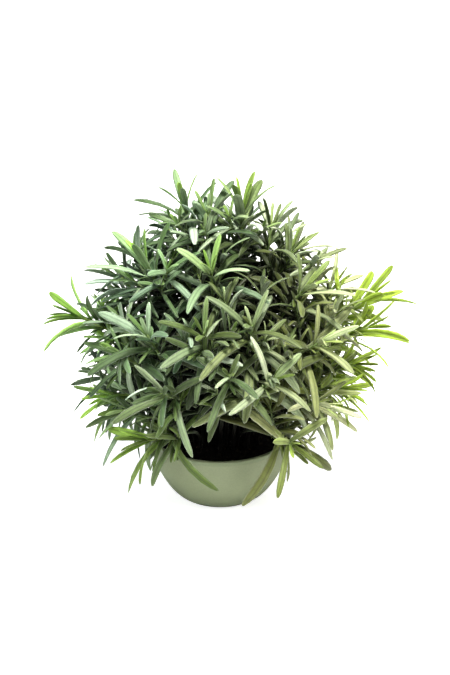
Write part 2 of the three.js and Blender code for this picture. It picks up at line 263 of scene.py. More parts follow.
# Sections of the blades as rows of: place across, height, and how much it is the underside.
BLADE_SECTION = (
    (-1.0, 0.06, 0.5),
    (-0.56, 0.86, 0.0),
    (0.0, 0.70, 0.0),
    (0.56, 0.86, 0.0),
    (1.0, 0.06, 0.5),
    (0.5, 0.2, 1.0),
    (0.0, 0.0, 1.0),
    (-0.5, 0.2, 1.0),
)
SMALL_SECTION = (
    (-1.0, 0.1, 0.5),
    (-0.5, 0.8, 0.0),
    (0.0, 0.62, 0.0),
    (0.5, 0.8, 0.0),
    (1.0, 0.1, 0.5),
    (0.0, 0.0, 1.0),
)
BLADE_STATIONS = (-0.03, 0.15, 0.36, 0.57, 0.77, 0.91, 0.98)
SMALL_STATIONS = (-0.04, 0.25, 0.55, 0.82, 0.97)
# A fine blade: its outline as shares of the plain width and length, and its thickness and waves.
FINE = {
    "base": 0.36,
    "widest": 0.5,
    "fullness": 0.85,
    "blunt": 0.68,
    "roundness": 2.2,
    "thickness": 1.35,
    "thinnest": 0.3,
    "end": 0.3,
    "waves": 9,
    "cup_power": 1.5,
    "end_underside": 0.4,
    "small_length": 18,
    "small_share": 0.62,
}
# A stem's rounded square, and how much and how far along the stem it swells at a node.
NODE = {"square": 0.84, "swell": 0.16, "reach": 0.012}
# How many rings a stem and a sprig have, and how many sides.
STEM_MESH = (40, 12)
SPRIG_MESH = (7, 8)
LEAF_SLOT = 0
STEM_SLOT = 1
# What share of the leaves is nearly white, above which height, and how painted shade darkens the tone
# inwards.
PALE_SHARE = 0.13
PALE_TONE = (0.85, 1.0)
PALE_FROM = 100.0
PAINTED_SHADE_FROM = 0.42
PAINTED_SHADE_TO = 0.88
PAINTED_INNER_SHADE = 0.03
# How the tone, the tint and the form of single leaves stray.
LEAF_LOOK = {
    "tone_stray": 0.15,
    "tint_stray": 0.15,
    "young_cup": 0.5,
    "cup_share": (0.4, 1.0),
    "old_flare": 0.2,
    "wave": (0.0, 0.14),
    "phase": (0.0, 6.3),
}
# How youth, tint and tone go by a shoot: warmer to the right and cooler higher up. As painted light,
# the tone is lighter to the right and above and below the middle of the plant. Distances are in
# millimetres.
SHOOT_LOOK = {
    "brightness": (0.0, 0.25),
    "sprig_brightness": 0.6,
    "youth": 1.4,
    "youth_lag": 0.1,
    "youth_by_pair": 0.25,
    "young_pair": 3,
    "small_youth": 0.3,
    "tint": 0.5,
    "tint_right": 200,
    "tint_up": 500,
    "tone": 0.49,
    "painted_light_right": 1500,
    "painted_light_off_middle": 800,
    "stray": 0.1,
    "stem_tone": 0.5,
}

# The fine pot: how many rings outside and inside, how they gather at the foot, how far in the heel
# starts, the points of its lip, and how far under the rim and over the floor the rings end.
BOWL_MESH = {
    "outer": 30,
    "gather": 1.6,
    "heel": (1.2, 0.3),
    "lip": 9,
    "inner": 14,
    "outer_top": 0.5,
    "inner_top": 0.6,
    "inner_foot": 0.01,
}
# The soil: its sides, the rings of its top and of its side, how far the side keeps from the bowl
# and ends under the top, where the top starts and ends, how wide its calm edge is and how far it
# sinks.
SOIL_MESH = {
    "sides": 96,
    "rings": 30,
    "side": 12,
    "side_gap": 0.25,
    "side_top": 0.4,
    "edge": 0.3,
    "centre": 0.6,
    "calm": 3,
    "sunk": 0.5,
}
# The soil's waves as rows of: length and size.
WAVES = ((23.0, 0.5), (11.0, 0.45), (6.2, 0.45), (3.9, 0.35), (2.6, 0.25))
WAVE_STRETCH = (0.85, 1.2)
WAVES_CROSSED = 3
# Loose crumbs on the soil: their sizes, how they stretch and sink, and how many are pale bark.
CRUMB = {
    "wall_gap": 2.4,
    "sides": 6,
    "least": 0.5,
    "more": 1.5,
    "rarity": 2.5,
    "stretch": ((0.8, 1.9), (0.7, 1.2), (0.5, 0.9)),
    "bumps": (0.78, 1.2),
    "sunk": 0.4,
    "raised": 0.2,
    "bark_share": 0.03,
    "tone": (0, 0.35),
}
SOIL_SEED = 4409

# The stage, in metres. Rows are: name, place, size, which power and how much of it, and colour.
LIGHTS = (
    ("Key", (0.1, -0.5, 1.5), 0.5, "key_power", 1.0, (1.0, 0.98, 0.95)),
    ("Left fill", (-1.2, -0.6, 0.7), 0.8, "fill_power", 1.0, (0.92, 0.97, 1.0)),
    ("Right fill", (1.2, -0.6, 0.7), 0.8, "fill_power", 0.75, (1.0, 0.98, 0.95)),
    ("Back fill", (0.3, 1.3, 0.6), 0.8, "fill_power", 1.0, (0.96, 1.0, 0.97)),
)
LIT_POINT = (0.0, 0.0, 0.14)
SKY_COLOUR = (1.0, 1.0, 0.96, 1.0)
FLOOR_GLOW = 0.6
BACKDROP = {
    "front": -3.2,
    "bend": 1.6,
    "radius": 0.9,
    "turn": (0.1, math.pi / 2, 12),
    "back": 2.5,
    "top": 4.0,
    "half_width": 3.6,
}


class Draws:
    """Seeded draws: each seed is the last one times 16807, less whole times 2^31 - 1."""

    def __init__(self, seed):
        self.seed = seed

    def between(self, low, high):
        self.seed = self.seed * 16807 % 2147483647
        return low + (high - low) * (self.seed / 2147483647)

    def stray(self, most):
        return self.between(-most, most)


def unit(vector):
    return vector / np.linalg.norm(vector)


def clamp(value):
    return min(max(value, 0.0), 1.0)


def bezier(points, share):
    """Cubic curve: each of its four points weighs by its Bernstein polynomial of the share."""
    t = np.asarray(share, float)[..., None]
    s = 1 - t
    return s**3 * points[0] + 3 * s**2 * t * points[1] + 3 * s * t**2 * points[2] + t**3 * points[3]


def tangent(points, share):
    low = np.clip(np.asarray(share, float) - TANGENT_STEP, 0, 1)
    high = np.clip(np.asarray(share, float) + TANGENT_STEP, 0, 1)
    step = bezier(points, high) - bezier(points, low)
    return step / np.linalg.norm(step, axis=-1, keepdims=True)


def half_width(width, share):
    """Half a plain blade's width: a narrow base, widest past the middle, and a blunt round tip."""
    widening = np.sin(math.pi / 2 * np.clip(share / LEAF["widest"], 0, 1))
    body = LEAF["waist"] + (1 - LEAF["waist"]) * widening
    tip = np.sqrt(1 - np.clip((share - LEAF["blunt"]) / (1 - LEAF["blunt"]), 0, 1) ** 2)
    return width / 2 * body * tip


def fine_half_width(width, share):
    """Half a fine blade's width: drawn in to a short stalk, and a fuller, rounder tip."""
    widening = np.sin(math.pi / 2 * np.clip(share / FINE["widest"], 0, 1)) ** FINE["fullness"]
    body = FINE["base"] + (1 - FINE["base"]) * widening
    rounding = np.clip((share - FINE["blunt"]) / (1 - FINE["blunt"]), 0, 1) ** FINE["roundness"]
    tip = np.sqrt(1 - rounding)
    return width / 2 * body * tip


def blade_frame(leaf, share):
    """A blade's centre line is an arc in the plane of the stem and the leaf, which also sways
    sideways and hangs by the square of the share. Gives points, the way across and the way up."""
    share = np.asarray(share, float)[:, None]
    angle = leaf["tilt"] + leaf["curl"] * share
    rise = (np.sin(angle) - math.sin(leaf["tilt"])) / leaf["curl"]
    run = (math.cos(leaf["tilt"]) - np.cos(angle)) / leaf["curl"]
    across = np.cross(leaf["along"], leaf["out"])
    length = leaf["length"]
    square = share * np.abs(share)
    point = leaf["base"] + leaf["along"] * rise * length + leaf["out"] * run * length
    point = point + across * leaf["sway"] * length * square - UP * LEAF["droop"] * length * square
    upper = leaf["along"] * np.sin(angle) - leaf["out"] * np.cos(angle)
    twist = leaf["twist"] * share
    side = across * np.cos(twist) + upper * np.sin(twist)
    face = upper * np.cos(twist) - across * np.sin(twist)
    return point, side, face


def blade_spots(leaf):
    """Rows of spots across a plain blade, for the test of what it crosses."""
    point, side, _ = blade_frame(leaf, ALONG_SPOTS)
    half = half_width(leaf["width"], ALONG_SPOTS)
    offsets = half[:, None, None] * ACROSS_SPOTS[None, :, None]
    return (point[:, None, :] + side[:, None, :] * offsets).reshape(-1, 3)


def closer_than(spots, others, room):
    """True if any two points lie closer than the room, from |a|^2 + |b|^2 - 2ab."""
    square = (spots**2).sum(1)[:, None] + (others**2).sum(1)[None, :] - 2 * spots @ others.T
    return square.min() < room * room


class Boxes:
    """Sets of sampled spots with their owners, and their boxes in one array for a quick test."""

    def __init__(self):
        self.items = []
        self.owners = np.zeros(0, int)
        self.corners = np.zeros((0, 2, 3))

    def add(self, owner, spots, item):
        self.items.append(item)
        self.owners = np.append(self.owners, owner)
        self.corners = np.concatenate([self.corners, [[spots.min(0), spots.max(0)]]])

    def near(self, low, high, room):
        """The numbers of the boxes that reach within the room of the box from low to high."""
        reached = (self.corners[:, 0] <= high + room) & (self.corners[:, 1] >= low - room)
        return np.flatnonzero(reached.all(1))

    def cut_back(self, count):
        del self.items[count:]
        self.owners = self.owners[:count]
        self.corners = self.corners[:count]


class Canopy:
    """Every stem and blade placed so far, as sampled spots, for the test of what crosses what."""

    def __init__(self):
        self.stems = Boxes()
        self.blades = Boxes()

    def add_stem(self, owner, spots):
        for start in range(0, len(spots), STEM_STRETCH):
            stretch = spots[start:start + STEM_STRETCH]
            self.stems.add(owner, stretch, stretch)

    def add_blade(self, owner, spots, outer):
        self.blades.add(owner, spots, (spots, outer))

    def is_clear(self, spots, outer, owner, room):
        """True where the spots clear the pot, the floor, other stems and all the blades."""
        in_pot = np.hypot(spots[:, 0], spots[:, 1]) < ROOM["pot_radius"]
        in_pot &= spots[:, 2] < ROOM["pot_height"]
        if in_pot.any() or spots[:, 2].min() < ROOM["floor"]:
            return False
        low = spots.min(0)
        high = spots.max(0)
        for index in self.stems.near(low, high, room["stem"]):
            if self.stems.owners[index] == owner:
                continue
            if closer_than(spots, self.stems.items[index], room["stem"]):
                return False
        for index in self.blades.near(low, high, room["leaf"]):
            placed, placed_outer = self.blades.items[index]
            if self.blades.owners[index] == owner:
                if closer_than(outer, placed_outer, room["own"]):
                    return False
            elif closer_than(spots, placed, room["leaf"]):
                return False
        return True


def list_shoots(draws):
    rows = list(FRONT_SHOOTS)
    for count, tier_radius, height, altitude, start, end in BACK_TIERS:
        for i in range(count):
            azimuth = start + (end - start) * i / (count - 1)
            radius = tier_radius + draws.stray(BACK_STRAY["radius"])
            x = radius * math.cos(math.radians(azimuth))
            y = radius * math.sin(math.radians(azimuth))
            z = height + draws.stray(BACK_STRAY["height"])
            turn = azimuth + draws.stray(BACK_STRAY["azimuth"])
            lift = altitude + draws.stray(BACK_STRAY["altitude"])
            opened = draws.between(*BACK_STRAY["open"])
            size = draws.between(*BACK_STRAY["size"])
            rows.append((x, y, z, turn, lift, opened, size))
    return rows


def stem_curve(row, root):
    """A stem rises straight out of the soil and comes over to its rosette and its tip."""
    x, y, z, azimuth, altitude = row[:5]
    turn = math.radians(azimuth)
    lift = math.radians(altitude)
    level = np.array([math.cos(turn), math.sin(turn), 0.0])
    axis = level * math.cos(lift) + UP * math.sin(lift)
    rosette = np.array([x, y, z], float)
    reach = np.linalg.norm(rosette - root)
    return np.array([
        root,
        root + UP * STEM["rise"] * reach,
        rosette - axis * STEM["back"] * reach,
        rosette + axis * STEM["tip_length"],
    ])


def root_shoot(row, places, canopy):
    """Takes the free place nearest below the shoot from which its stem clears the others."""
    pull = STEM["crown_pull"]
    wanted = np.array([pull * row[0], pull * row[1] + STEM["crown_back"], SOIL["top"]])
    places.sort(key=lambda place: np.linalg.norm(place - wanted))
    for index, place in enumerate(places):
        spots = bezier(stem_curve(row, place), STEM_SPOTS)
        if not any(closer_than(spots, stretch, STEM["apart"]) for stretch in canopy.stems.items):
            return places.pop(index)
    return places.pop(0)


def make_sections(curve, shares, side, base_radius, tip_radius):
    """Square sections along a curve, each turned as little as can be from the one before."""
    sections = []
    for share in shares:
        along = tangent(curve, share)
        side = unit(side - along * (side @ along))
        sections.append({
            "share": share,
            "point": bezier(curve, share),
            "along": along,
            "side": side,
            "front": np.cross(along, side),
            "radius": base_radius + (tip_radius - base_radius) * share,
        })
    return sections


def pair_sections(curve, pairs):
    """The two shares of the curve round each pair's node, close together."""
    tip_speed = 3 * np.linalg.norm(curve[3] - curve[2])
    shares = []
    for below, *_ in pairs:
        for lower in (STEM["leaf_base"], -STEM["leaf_base"]):
            shares.append(1 - (below + lower) / tip_speed)
    return shares


def outward(section, angle):
    return section["side"] * math.cos(angle) + section["front"] * math.sin(angle)


def grow_leaf(canopy, owner, section, flat, pair, opened, size, draws, tries, room, allowed=None):
    """Grows one leaf of a pair from a flat side of a stem, bent a little further from its wanted
    place until it is clear of the rest. Gives the leaf, or None where there is no room."""
    _, length, width, tilt, curl, swing = pair
    base = section["point"] + section["along"] * STEM["leaf_base"]
    base = base + outward(section, flat * math.pi / 2) * section["radius"] * math.sqrt(0.5)
    turn = 90 * flat + draws.stray(LEAF_STRAY["turn"]) * swing
    lean = tilt * opened + draws.stray(LEAF_STRAY["tilt"]) * swing
    full = length * size * draws.between(*LEAF_STRAY["length"])
    leaf = {
        "base": base,
        "along": section["along"],
        "curl": math.radians((curl + draws.stray(LEAF_STRAY["curl"]) * swing) * opened),
        "twist": math.radians(draws.stray(LEAF_STRAY["twist"])),
        "sway": draws.stray(LEAF_STRAY["sway"]) * swing,
        "width": width * size * draws.between(*LEAF_STRAY["width"]),
    }
    lengths, tilts, turns = tries
    for shorten in lengths:
        for more_tilt in tilts:
            for more_turn in turns:
                leaf["out"] = outward(section, math.radians(turn + more_turn * swing))
                least = LEAST_TILT[0] + LEAST_TILT[1] * swing
                leaf["tilt"] = math.radians(max(lean + more_tilt * swing, least))
                leaf["length"] = full * shorten
                spots = blade_spots(leaf)
                if allowed is not None and not allowed(spots):
                    continue
                outer = spots[OWN_FROM:]
                if canopy.is_clear(spots, outer, owner, room):
                    canopy.add_blade(owner, spots, outer)
                    return leaf
    return None


def grow_frame_plant():
    """Grows the plant of the frame: the same rows, places and draws in the same order."""
    draws = Draws(PLANT_SEED)
    canopy = Canopy()
    rows = list_shoots(draws)
    count = len(rows) + STEM["spare_places"]
    index = np.arange(count)
    radius = STEM["crown_radius"] * np.sqrt((index + 0.5) / count)
    turn = index * GOLDEN_ANGLE
    x = radius * np.cos(turn)
    y = radius * np.sin(turn) + STEM["crown_back"]
    places = list(np.stack([x, y, np.full(count, SOIL["top"])], 1))
    shoots = []
    for number, row in enumerate(rows, 1):
        root = root_shoot(row, places, canopy)
        curve = stem_curve(row, root)
        drawn_roll = draws.between(0, 90)
        roll = math.radians(row[7] if len(row) > 7 else drawn_roll)
        side = np.array([math.cos(roll), math.sin(roll), 0.0])
        shares = list(STEM["bends"]) + pair_sections(curve, PAIRS)
        sections = make_sections(curve, shares, side, STEM["base_radius"], STEM["tip_radius"])
        canopy.add_stem(number, bezier(curve, STEM_SPOTS))
        shoots.append({
            "number": number,
            "curve": curve,
            "side": side,
            "sections": sections,
            "open": row[5],
            "size": row[6],
            "leaves": [],
            "small": [],
            "sprigs": [],
        })
    tries = (TRY_LENGTHS, TRY_TILTS, TRY_TURNS)
    for order in range(len(PAIRS) - 1, -1, -1):
        for shoot in shoots:
            section = shoot["sections"][len(STEM["bends"]) + 2 * order]
            for opposite in (0, 1):
                flat = order % 2 + 2 * opposite
                leaf = grow_leaf(
                    canopy, shoot["number"], section, flat, PAIRS[order], shoot["open"],
                    shoot["size"], draws, tries, ROOM
                )
                if leaf is not None:
                    leaf["order"] = order
                    leaf["flat"] = flat
                    leaf["section"] = section
                    shoot["leaves"].append(leaf)
    return shoots, canopy


def outside_gap(spots):
    """True where no spot hangs before the open soil, as it is seen from the front."""
    seen_at = spots[:, 1] + (spots[:, 2] - SOIL["top"]) / GAP["slope"]
    narrower = np.clip(seen_at, 0, None) * GAP["narrows"]
    in_x = (spots[:, 0] > GAP["x"][0] + narrower) & (spots[:, 0] < GAP["x"][1] - narrower)
    in_y = (seen_at > GAP["y"][0]) & (seen_at < GAP["y"][1]) & (spots[:, 1] < 0)
    return not (in_x & in_y).any()


def make_allowed(settings):
    """The test that added leaves stay inside the frame's box and out of the open gap."""
    low, high = (np.array(corner) / MM for corner in CAD_BOX)
    margin = settings.box_margin / MM

    def allowed(spots):
        inside = (spots > low + margin).all() and (spots < high - margin).all()
        return inside and outside_gap(spots)

    return allowed


def stem_share(curve, below):
    """The share of a stem's curve that lies a distance under its tip, by its summed length."""
    shares = np.linspace(0, 1, STEM_STEPS)
    points = bezier(curve, shares)
    lengths = np.concatenate([[0], np.cumsum(np.linalg.norm(np.diff(points, axis=0), axis=1))])
    return float(np.interp(lengths[-1] - below, lengths, shares)), float(lengths[-1])


def section_at(shoot, share):
    """The stem's section at any share, turned as its nearest lower one is."""
    below = [section for section in shoot["sections"] if section["share"] <= share][-1]
    radii = (STEM["base_radius"], STEM["tip_radius"])
    return make_sections(shoot["curve"], [share], below["side"], *radii)[0]


def depth_in_dome(point):
    """How far out a point lies: 0 at the middle of the plant, 1 on the ellipsoid round it."""
    return float(np.linalg.norm((point - DOME["middle"]) / DOME["radii"]))


def grow_sprig(shoot, curve, side, opened, size, canopy, draws, allowed):
    """Grows a sprig's short stem with its crossed pairs of smaller leaves, if it finds room."""
    spots = bezier(curve, np.linspace(*SPRIG["test_spots"]))
    if not allowed(spots) or spots[-1, 2] < LOWEST_LEAF:
        return False
    if depth_in_dome(spots[-1]) > SPRIG["reach_in_dome"]:
        return False
    if not canopy.is_clear(spots, spots, shoot["number"], SPRIG_ROOM):
        return False
    bends = list(SPRIG["bends"])
    shares = np.clip(bends + pair_sections(curve, SPRIG_PAIRS), 0, 1)
    sections = make_sections(curve, shares, side, SPRIG["base_radius"], SPRIG["tip_radius"])
    kept = []
    marked = len(canopy.blades.items)
    for order in range(len(SPRIG_PAIRS) - 1, -1, -1):
        for opposite in (0, 1):
            place = sections[len(bends) + 2 * order]
            if place["share"] < SPRIG["bare"]:
                continue
            flat = order % 2 + 2 * opposite
            leaf = grow_leaf(
                canopy, shoot["number"], place, flat, SPRIG_PAIRS[order], opened, size,
                draws, SPRIG_TRIES, ADDED_ROOM, allowed
            )
            if leaf is not None:
                leaf["order"] = order + 1
                kept.append(leaf)
    if len(kept) < SPRIG["least_leaves"]:
        canopy.blades.cut_back(marked)
        return False
    canopy.add_stem(shoot["number"], bezier(curve, np.linspace(0, 1, SPRIG["spots"])))
    shoot["sprigs"].append({"curve": curve, "side": side, "leaves": kept})
    return True


def add_sprigs(shoots, canopy, draws, allowed):
    """Side sprigs out of the axils, longer and then shorter, on the flats where there is room."""
    for step, below in enumerate(SPRIG_NODES):
        for shoot in shoots:
            share, total = stem_share(shoot["curve"], below)
            if total - below < SPRIG["least_height"]:
                continue
            section = section_at(shoot, share)
            for flat in (step % 2, step % 2 + 2, (step + 1) % 2, (step + 1) % 2 + 2):
                turn = flat * math.pi / 2 + math.radians(draws.stray(SPRIG["turn"]))
                out = outward(section, turn)
                side = unit(np.cross(section["along"], out))
                rise = UP * draws.between(*SPRIG["rise"])
                heading = unit(out + section["along"] * SPRIG["lift"] + rise)
                size = draws.between(*SPRIG["stray"])
                for reach in SPRIG["reaches"]:
                    reach = reach * draws.between(*SPRIG["stray"])
                    curve = section["point"] + np.array([
                        np.zeros(3),
                        unit(out + section["along"]) * reach * SPRIG["curve"][0],
                        heading * reach * SPRIG["curve"][1],
                        unit(heading + UP * SPRIG["rise_at_tip"]) * reach,
                    ])
                    opened = draws.between(*SPRIG["open"])
                    if grow_sprig(shoot, curve, side, opened, size, canopy, draws, allowed):
                        break


def add_lower_pairs(shoots, canopy, draws, allowed):
    """Older leaves lower on the stems, smaller and bent further out."""
    for step, below in enumerate(LOWER_NODES):
        for shoot in shoots:
            share, total = stem_share(shoot["curve"], below)
            if total - below < LEAST_FOOT:
                continue
            section = section_at(shoot, share)
            size = shoot["size"] * (1 - LOWER_SHRINK * step)
            for opposite in (0, 1):
                flat = (step + 1) % 2 + 2 * opposite
                leaf = grow_leaf(
                    canopy, shoot["number"], section, flat, LOWER_PAIR, shoot["open"], size,
                    draws, LOWER_TRIES, ADDED_ROOM, allowed
                )
                if leaf is not None:
                    leaf["order"] = -1 - step
                    leaf["flat"] = flat
                    leaf["section"] = section
                    shoot["leaves"].append(leaf)


def add_axil_leaves(shoots, canopy, draws, allowed):
    """Leaflets in the axils of the larger leaves, upright between the leaf and the stem."""
    for shoot in shoots:
        for leaf in shoot["leaves"]:
            if leaf["order"] > HIGHEST_AXIL:
                continue
            for length, width, tilt, turn in AXIL_LEAVES:
                pair = (0.0, length, width, tilt, AXIL_CURL, 1.0)
                size = draws.between(*AXIL_SIZE)
                grown = grow_leaf(
                    canopy, shoot["number"], leaf["section"], leaf["flat"] + turn, pair, 1.0, size,
                    draws, AXIL_TRIES, ADDED_ROOM, allowed
                )
                if grown is not None:
                    shoot["small"].append(grown)


def surface_indices(copies, rings, around):
    """Faces of tubes of rings, one after another, each with a pole point at its end and a cap at
    its start: quads between rings, triangles to the pole, and one face over the first ring."""
    block = rings * around + 1
    starts = (np.arange(copies) * block)[:, None, None]
    ring = (np.arange(rings - 1) * around)[None, :, None]
    j = np.arange(around)[None, None, :]
    k = (j + 1) % around
    quads = np.stack([
        starts + ring + j,
        starts + ring + around + j,
        starts + ring + around + k,
        starts + ring + k,
    ], -1)
    last = (rings - 1) * around
    poles = np.broadcast_to(starts[:, 0] + rings * around, (copies, around))
    tips = np.stack([starts[:, 0] + last + j[0], poles, starts[:, 0] + last + k[0]], -1)
    caps = starts[:, 0] + j[0]
    return quads.reshape(-1, 4), tips.reshape(-1, 3), caps.reshape(-1, around)


def blade_surface(leaves, stations, section, settings):
    """Fine blades: each ring of a blade is the section scaled by the half width across and by the
    thickness up, so the margins roll down, the middle is a groove and the rib stands out below.
    Young blades are cupped: the height grows with a power of the place across."""
    shares = np.array(stations)
    across = np.array([row[0] for row in section])
    height = np.array([row[1] for row in section])
    under = np.array([row[2] for row in section])
    ring_count = len(shares)
    around = len(across)
    points, blade, growth = np.zeros((3, len(leaves), ring_count * around + 1, 3))
    for index, leaf in enumerate(leaves):
        point, side, face = blade_frame(leaf, shares)
        half = fine_half_width(leaf["width"] * settings.leaf_width, np.clip(shares, 0, 1))
        thick = FINE["thickness"] * leaf["thick"] * np.clip(half / half.max(), FINE["thinnest"], 1)
        wave = leaf["wave"] * np.sin(leaf["phase"] + FINE["waves"] * shares)[:, None] * across
        cupped = leaf["cup"] * half[:, None] * np.abs(across) ** FINE["cup_power"]
        lift = height * thick[:, None] + cupped + wave * half[:, None]
        wide = side[:, None] * (half[:, None] * across)[..., None]
        rings = point[:, None] + wide + face[:, None] * lift[..., None]
        end, _, end_face = blade_frame(leaf, np.array([1.0]))
        points[index, :-1] = rings.reshape(-1, 3)
        points[index, -1] = end[0] + end_face[0] * FINE["end"] * thick[-1]
        blade[index, :-1, 0] = np.tile(across, ring_count)
        blade[index, :-1, 1] = np.repeat(np.clip(shares, 0, 1), around)
        blade[index, :-1, 2] = np.tile(under, ring_count)
        blade[index, -1] = (0.0, 1.0, FINE["end_underside"])
        growth[index] = leaf["growth"]
    quads, tips, caps = surface_indices(len(leaves), ring_count, around)
    return points.reshape(-1, 3), blade.reshape(-1, 3), growth.reshape(-1, 3), [quads, tips, caps]


def stem_surface(stem, form, foot, nodes, growth, rings, around):
    """A square stem with rounded edges: the radius at an angle is the half diagonal over the
    fourth-power norm of its sine and cosine, swollen by a bell curve round each node."""
    curve = stem["curve"]
    side = stem["side"]
    shares = np.linspace(0, 1, rings)
    points = bezier(curve, shares)
    sides = []
    for share in shares:
        along = tangent(curve, share)
        side = unit(side - along * (side @ along))
        sides.append(side)
    sides = np.array(sides)
    fronts = np.cross(tangent(curve, shares), sides)
    if foot is not None:
        points = np.vstack([foot, points])
        sides = np.vstack([sides[:1], sides])
        fronts = np.vstack([fronts[:1], fronts])
        shares = np.concatenate([[0.0], shares])
    angle = np.arange(around) * 2 * math.pi / around
    square = NODE["square"] / (np.abs(np.cos(angle)) ** 4 + np.abs(np.sin(angle)) ** 4) ** 0.25
    radius = form["base_radius"] + (form["tip_radius"] - form["base_radius"]) * shares
    for node in nodes:
        bell = np.exp(-(((shares - node) / NODE["reach"]) ** 2))
        radius = radius * (1 + NODE["swell"] * bell)
    ring = sides[:, None] * np.cos(angle)[:, None] + fronts[:, None] * np.sin(angle)[:, None]
    surface = points[:, None] + ring * (radius[:, None] * square)[..., None]
    end = points[-1:] + tangent(curve, 1.0) * form["tip_radius"]
    vertices = np.vstack([surface.reshape(-1, 3), end])
    quads, tips, caps = surface_indices(1, len(shares), around)
    blade = np.zeros((len(vertices), 3))
    blade[:-1, 1] = np.repeat(shares, around)
    blade[-1, 1] = 1.0
    tones = np.tile(np.asarray(growth, float), (len(vertices), 1))
    return vertices, blade, tones, [quads[:, ::-1], tips[:, ::-1], caps[:, ::-1]]


def dress_leaf(leaf, youth, shoot_tone_and_light, tint, draws):
    """Sets what a blade's finish and fine form read: its youth, tone, tint, cup, wave. Leaves deep
    in the plant are darkened with painted shade, and a few are nearly white with felt."""
    tone = shoot_tone_and_light + draws.stray(LEAF_LOOK["tone_stray"])
    middle = blade_frame(leaf, np.array([0.5]))[0][0]
    if draws.between(0, 1) < PALE_SHARE and middle[2] > PALE_FROM:
        tone = draws.between(*PALE_TONE)
    # Painted shade: the tone falls nearly to black the deeper the leaf's middle lies in the plant.
    out_of_painted_shade = clamp((depth_in_dome(middle) - PAINTED_SHADE_FROM) / (PAINTED_SHADE_TO - PAINTED_SHADE_FROM))
    tone = clamp(tone * (PAINTED_INNER_SHADE + (1 - PAINTED_INNER_SHADE) * out_of_painted_shade))
    leaf["growth"] = (youth, tone, clamp(tint + draws.stray(LEAF_LOOK["tint_stray"])))
    cup = LEAF_LOOK["young_cup"] * youth * draws.between(*LEAF_LOOK["cup_share"])
    leaf["cup"] = cup - LEAF_LOOK["old_flare"] * (1 - youth)
    leaf["wave"] = draws.between(*LEAF_LOOK["wave"])
    leaf["phase"] = draws.between(*LEAF_LOOK["phase"])
    leaf["thick"] = 1.0 if leaf["length"] > FINE["small_length"] else FINE["small_share"]


def list_faces(groups, offset=0):
    """The faces of each group, with their corners counted on from the offset."""
    return [face for group in groups for face in (group + offset).tolist()]


def join_surfaces(parts):
    """Puts surfaces one after another, with their faces counted on and marked by material."""
    points = np.vstack([part[0] for part in parts])
    blade = np.vstack([part[1] for part in parts])
    growth = np.vstack([part[2] for part in parts])
    faces = []
    slots = []
    offset = 0
    for vertices, _, _, groups, slot in parts:
        faces += list_faces(groups, offset)
        slots += [slot] * (len(faces) - len(slots))
        offset += len(vertices)
    return points, blade, growth, faces, slots


def new_piece(name, points, faces, materials, slots=None, attributes=None):
    """A mesh object at the origin, with its place in its mesh, from millimetres."""
    mesh = bpy.data.meshes.new(name)
    mesh.from_pydata((np.asarray(points) * MM).tolist(), [], faces)
    for material in materials:
        mesh.materials.append(material)
    if slots is not None:
        mesh.polygons.foreach_set("material_index", np.asarray(slots, np.int32))
    for key, values in (attributes or {}).items():
        attribute = mesh.attributes.new(key, "FLOAT_VECTOR", "POINT")
        attribute.data.foreach_set("vector", np.asarray(values, np.float32).ravel())
    mesh.shade_smooth()
    mesh.update()
    piece = bpy.data.objects.new(name, mesh)
    bpy.context.scene.collection.objects.link(piece)
    return piece


class Finish:
    """A node tree being built: adds nodes with values and links by socket names."""

    def __init__(self, name):
        self.material = bpy.data.materials.new(name)
        self.material.use_nodes = True
        self.tree = self.material.node_tree
        self.tree.nodes.clear()
        output = self.add("ShaderNodeOutputMaterial")
        self.shader = self.add("ShaderNodeBsdfPrincipled")
        self.link(self.shader.outputs["BSDF"], output.inputs["Surface"])

    def add(self, kind, values=None, **options):
        return add_node(self.tree, kind, values, **options)

    def link(self, source, target):
        self.tree.links.new(source, target)

    def mix(self, factor, first, second):
        return mix_colours(self.tree, factor, first, second)

    def ramp(self, source, low, high, out_low=0.0, out_high=1.0):
        return map_smooth(self.tree, source, low, high, out_low, out_high)

    def attribute(self, name):
        """The X, Y and Z of a vector that the mesh's points carry."""
        source = self.add("ShaderNodeAttribute", attribute_name=name)
        return self.add("ShaderNodeSeparateXYZ", {"Vector": source.outputs["Vector"]}).outputs

    def dress(self, colour, roughness, height, strength, distance):
        """Links the colour, the roughness and a bump of the height to the shader."""
        values = {"Strength": strength, "Distance": distance, "Height": height}
        bump = self.add("ShaderNodeBump", values)
        self.link(colour, self.shader.inputs["Base Color"])
        self.link(roughness, self.shader.inputs["Roughness"])
        self.link(bump.outputs["Normal"], self.shader.inputs["Normal"])


def add_node(tree, kind, values=None, **options):
    """Adds a node with its options, and sets or links its inputs by their names or numbers."""
    node = tree.nodes.new(kind)
    for key, value in options.items():
        setattr(node, key, value)
    for key, value in (values or {}).items():
        if isinstance(value, bpy.types.NodeSocket):
            tree.links.new(value, node.inputs[key])
        else:
            node.inputs[key].default_value = value
    return node


def opaque(colour):
    return colour if isinstance(colour, bpy.types.NodeSocket) else (*colour, 1.0)


def mix_colours(tree, factor, first, second):
    """Mixes two colours by a factor. The sockets are numbered, as their names are not unique."""
    values = {0: factor, 6: opaque(first), 7: opaque(second)}
    node = add_node(tree, "ShaderNodeMix", values, data_type="RGBA", clamp_factor=True)
    return node.outputs[2]


def map_smooth(tree, source, low, high, out_low=0.0, out_high=1.0):
    """Maps a value's range to another by the smooth step 3t^2 - 2t^3, held at both ends."""
    node = add_node(tree, "ShaderNodeMapRange", {"Value": source}, interpolation_type="SMOOTHSTEP")
    node.inputs["From Min"].default_value = low
    node.inputs["From Max"].default_value = high
    node.inputs["To Min"].default_value = out_low
    node.inputs["To Max"].default_value = out_high
    return node.outputs["Result"]


def calculate(tree, operation, first, second=0.0):
    return add_node(tree, "ShaderNodeMath", {0: first, 1: second}, operation=operation).outputs[0]


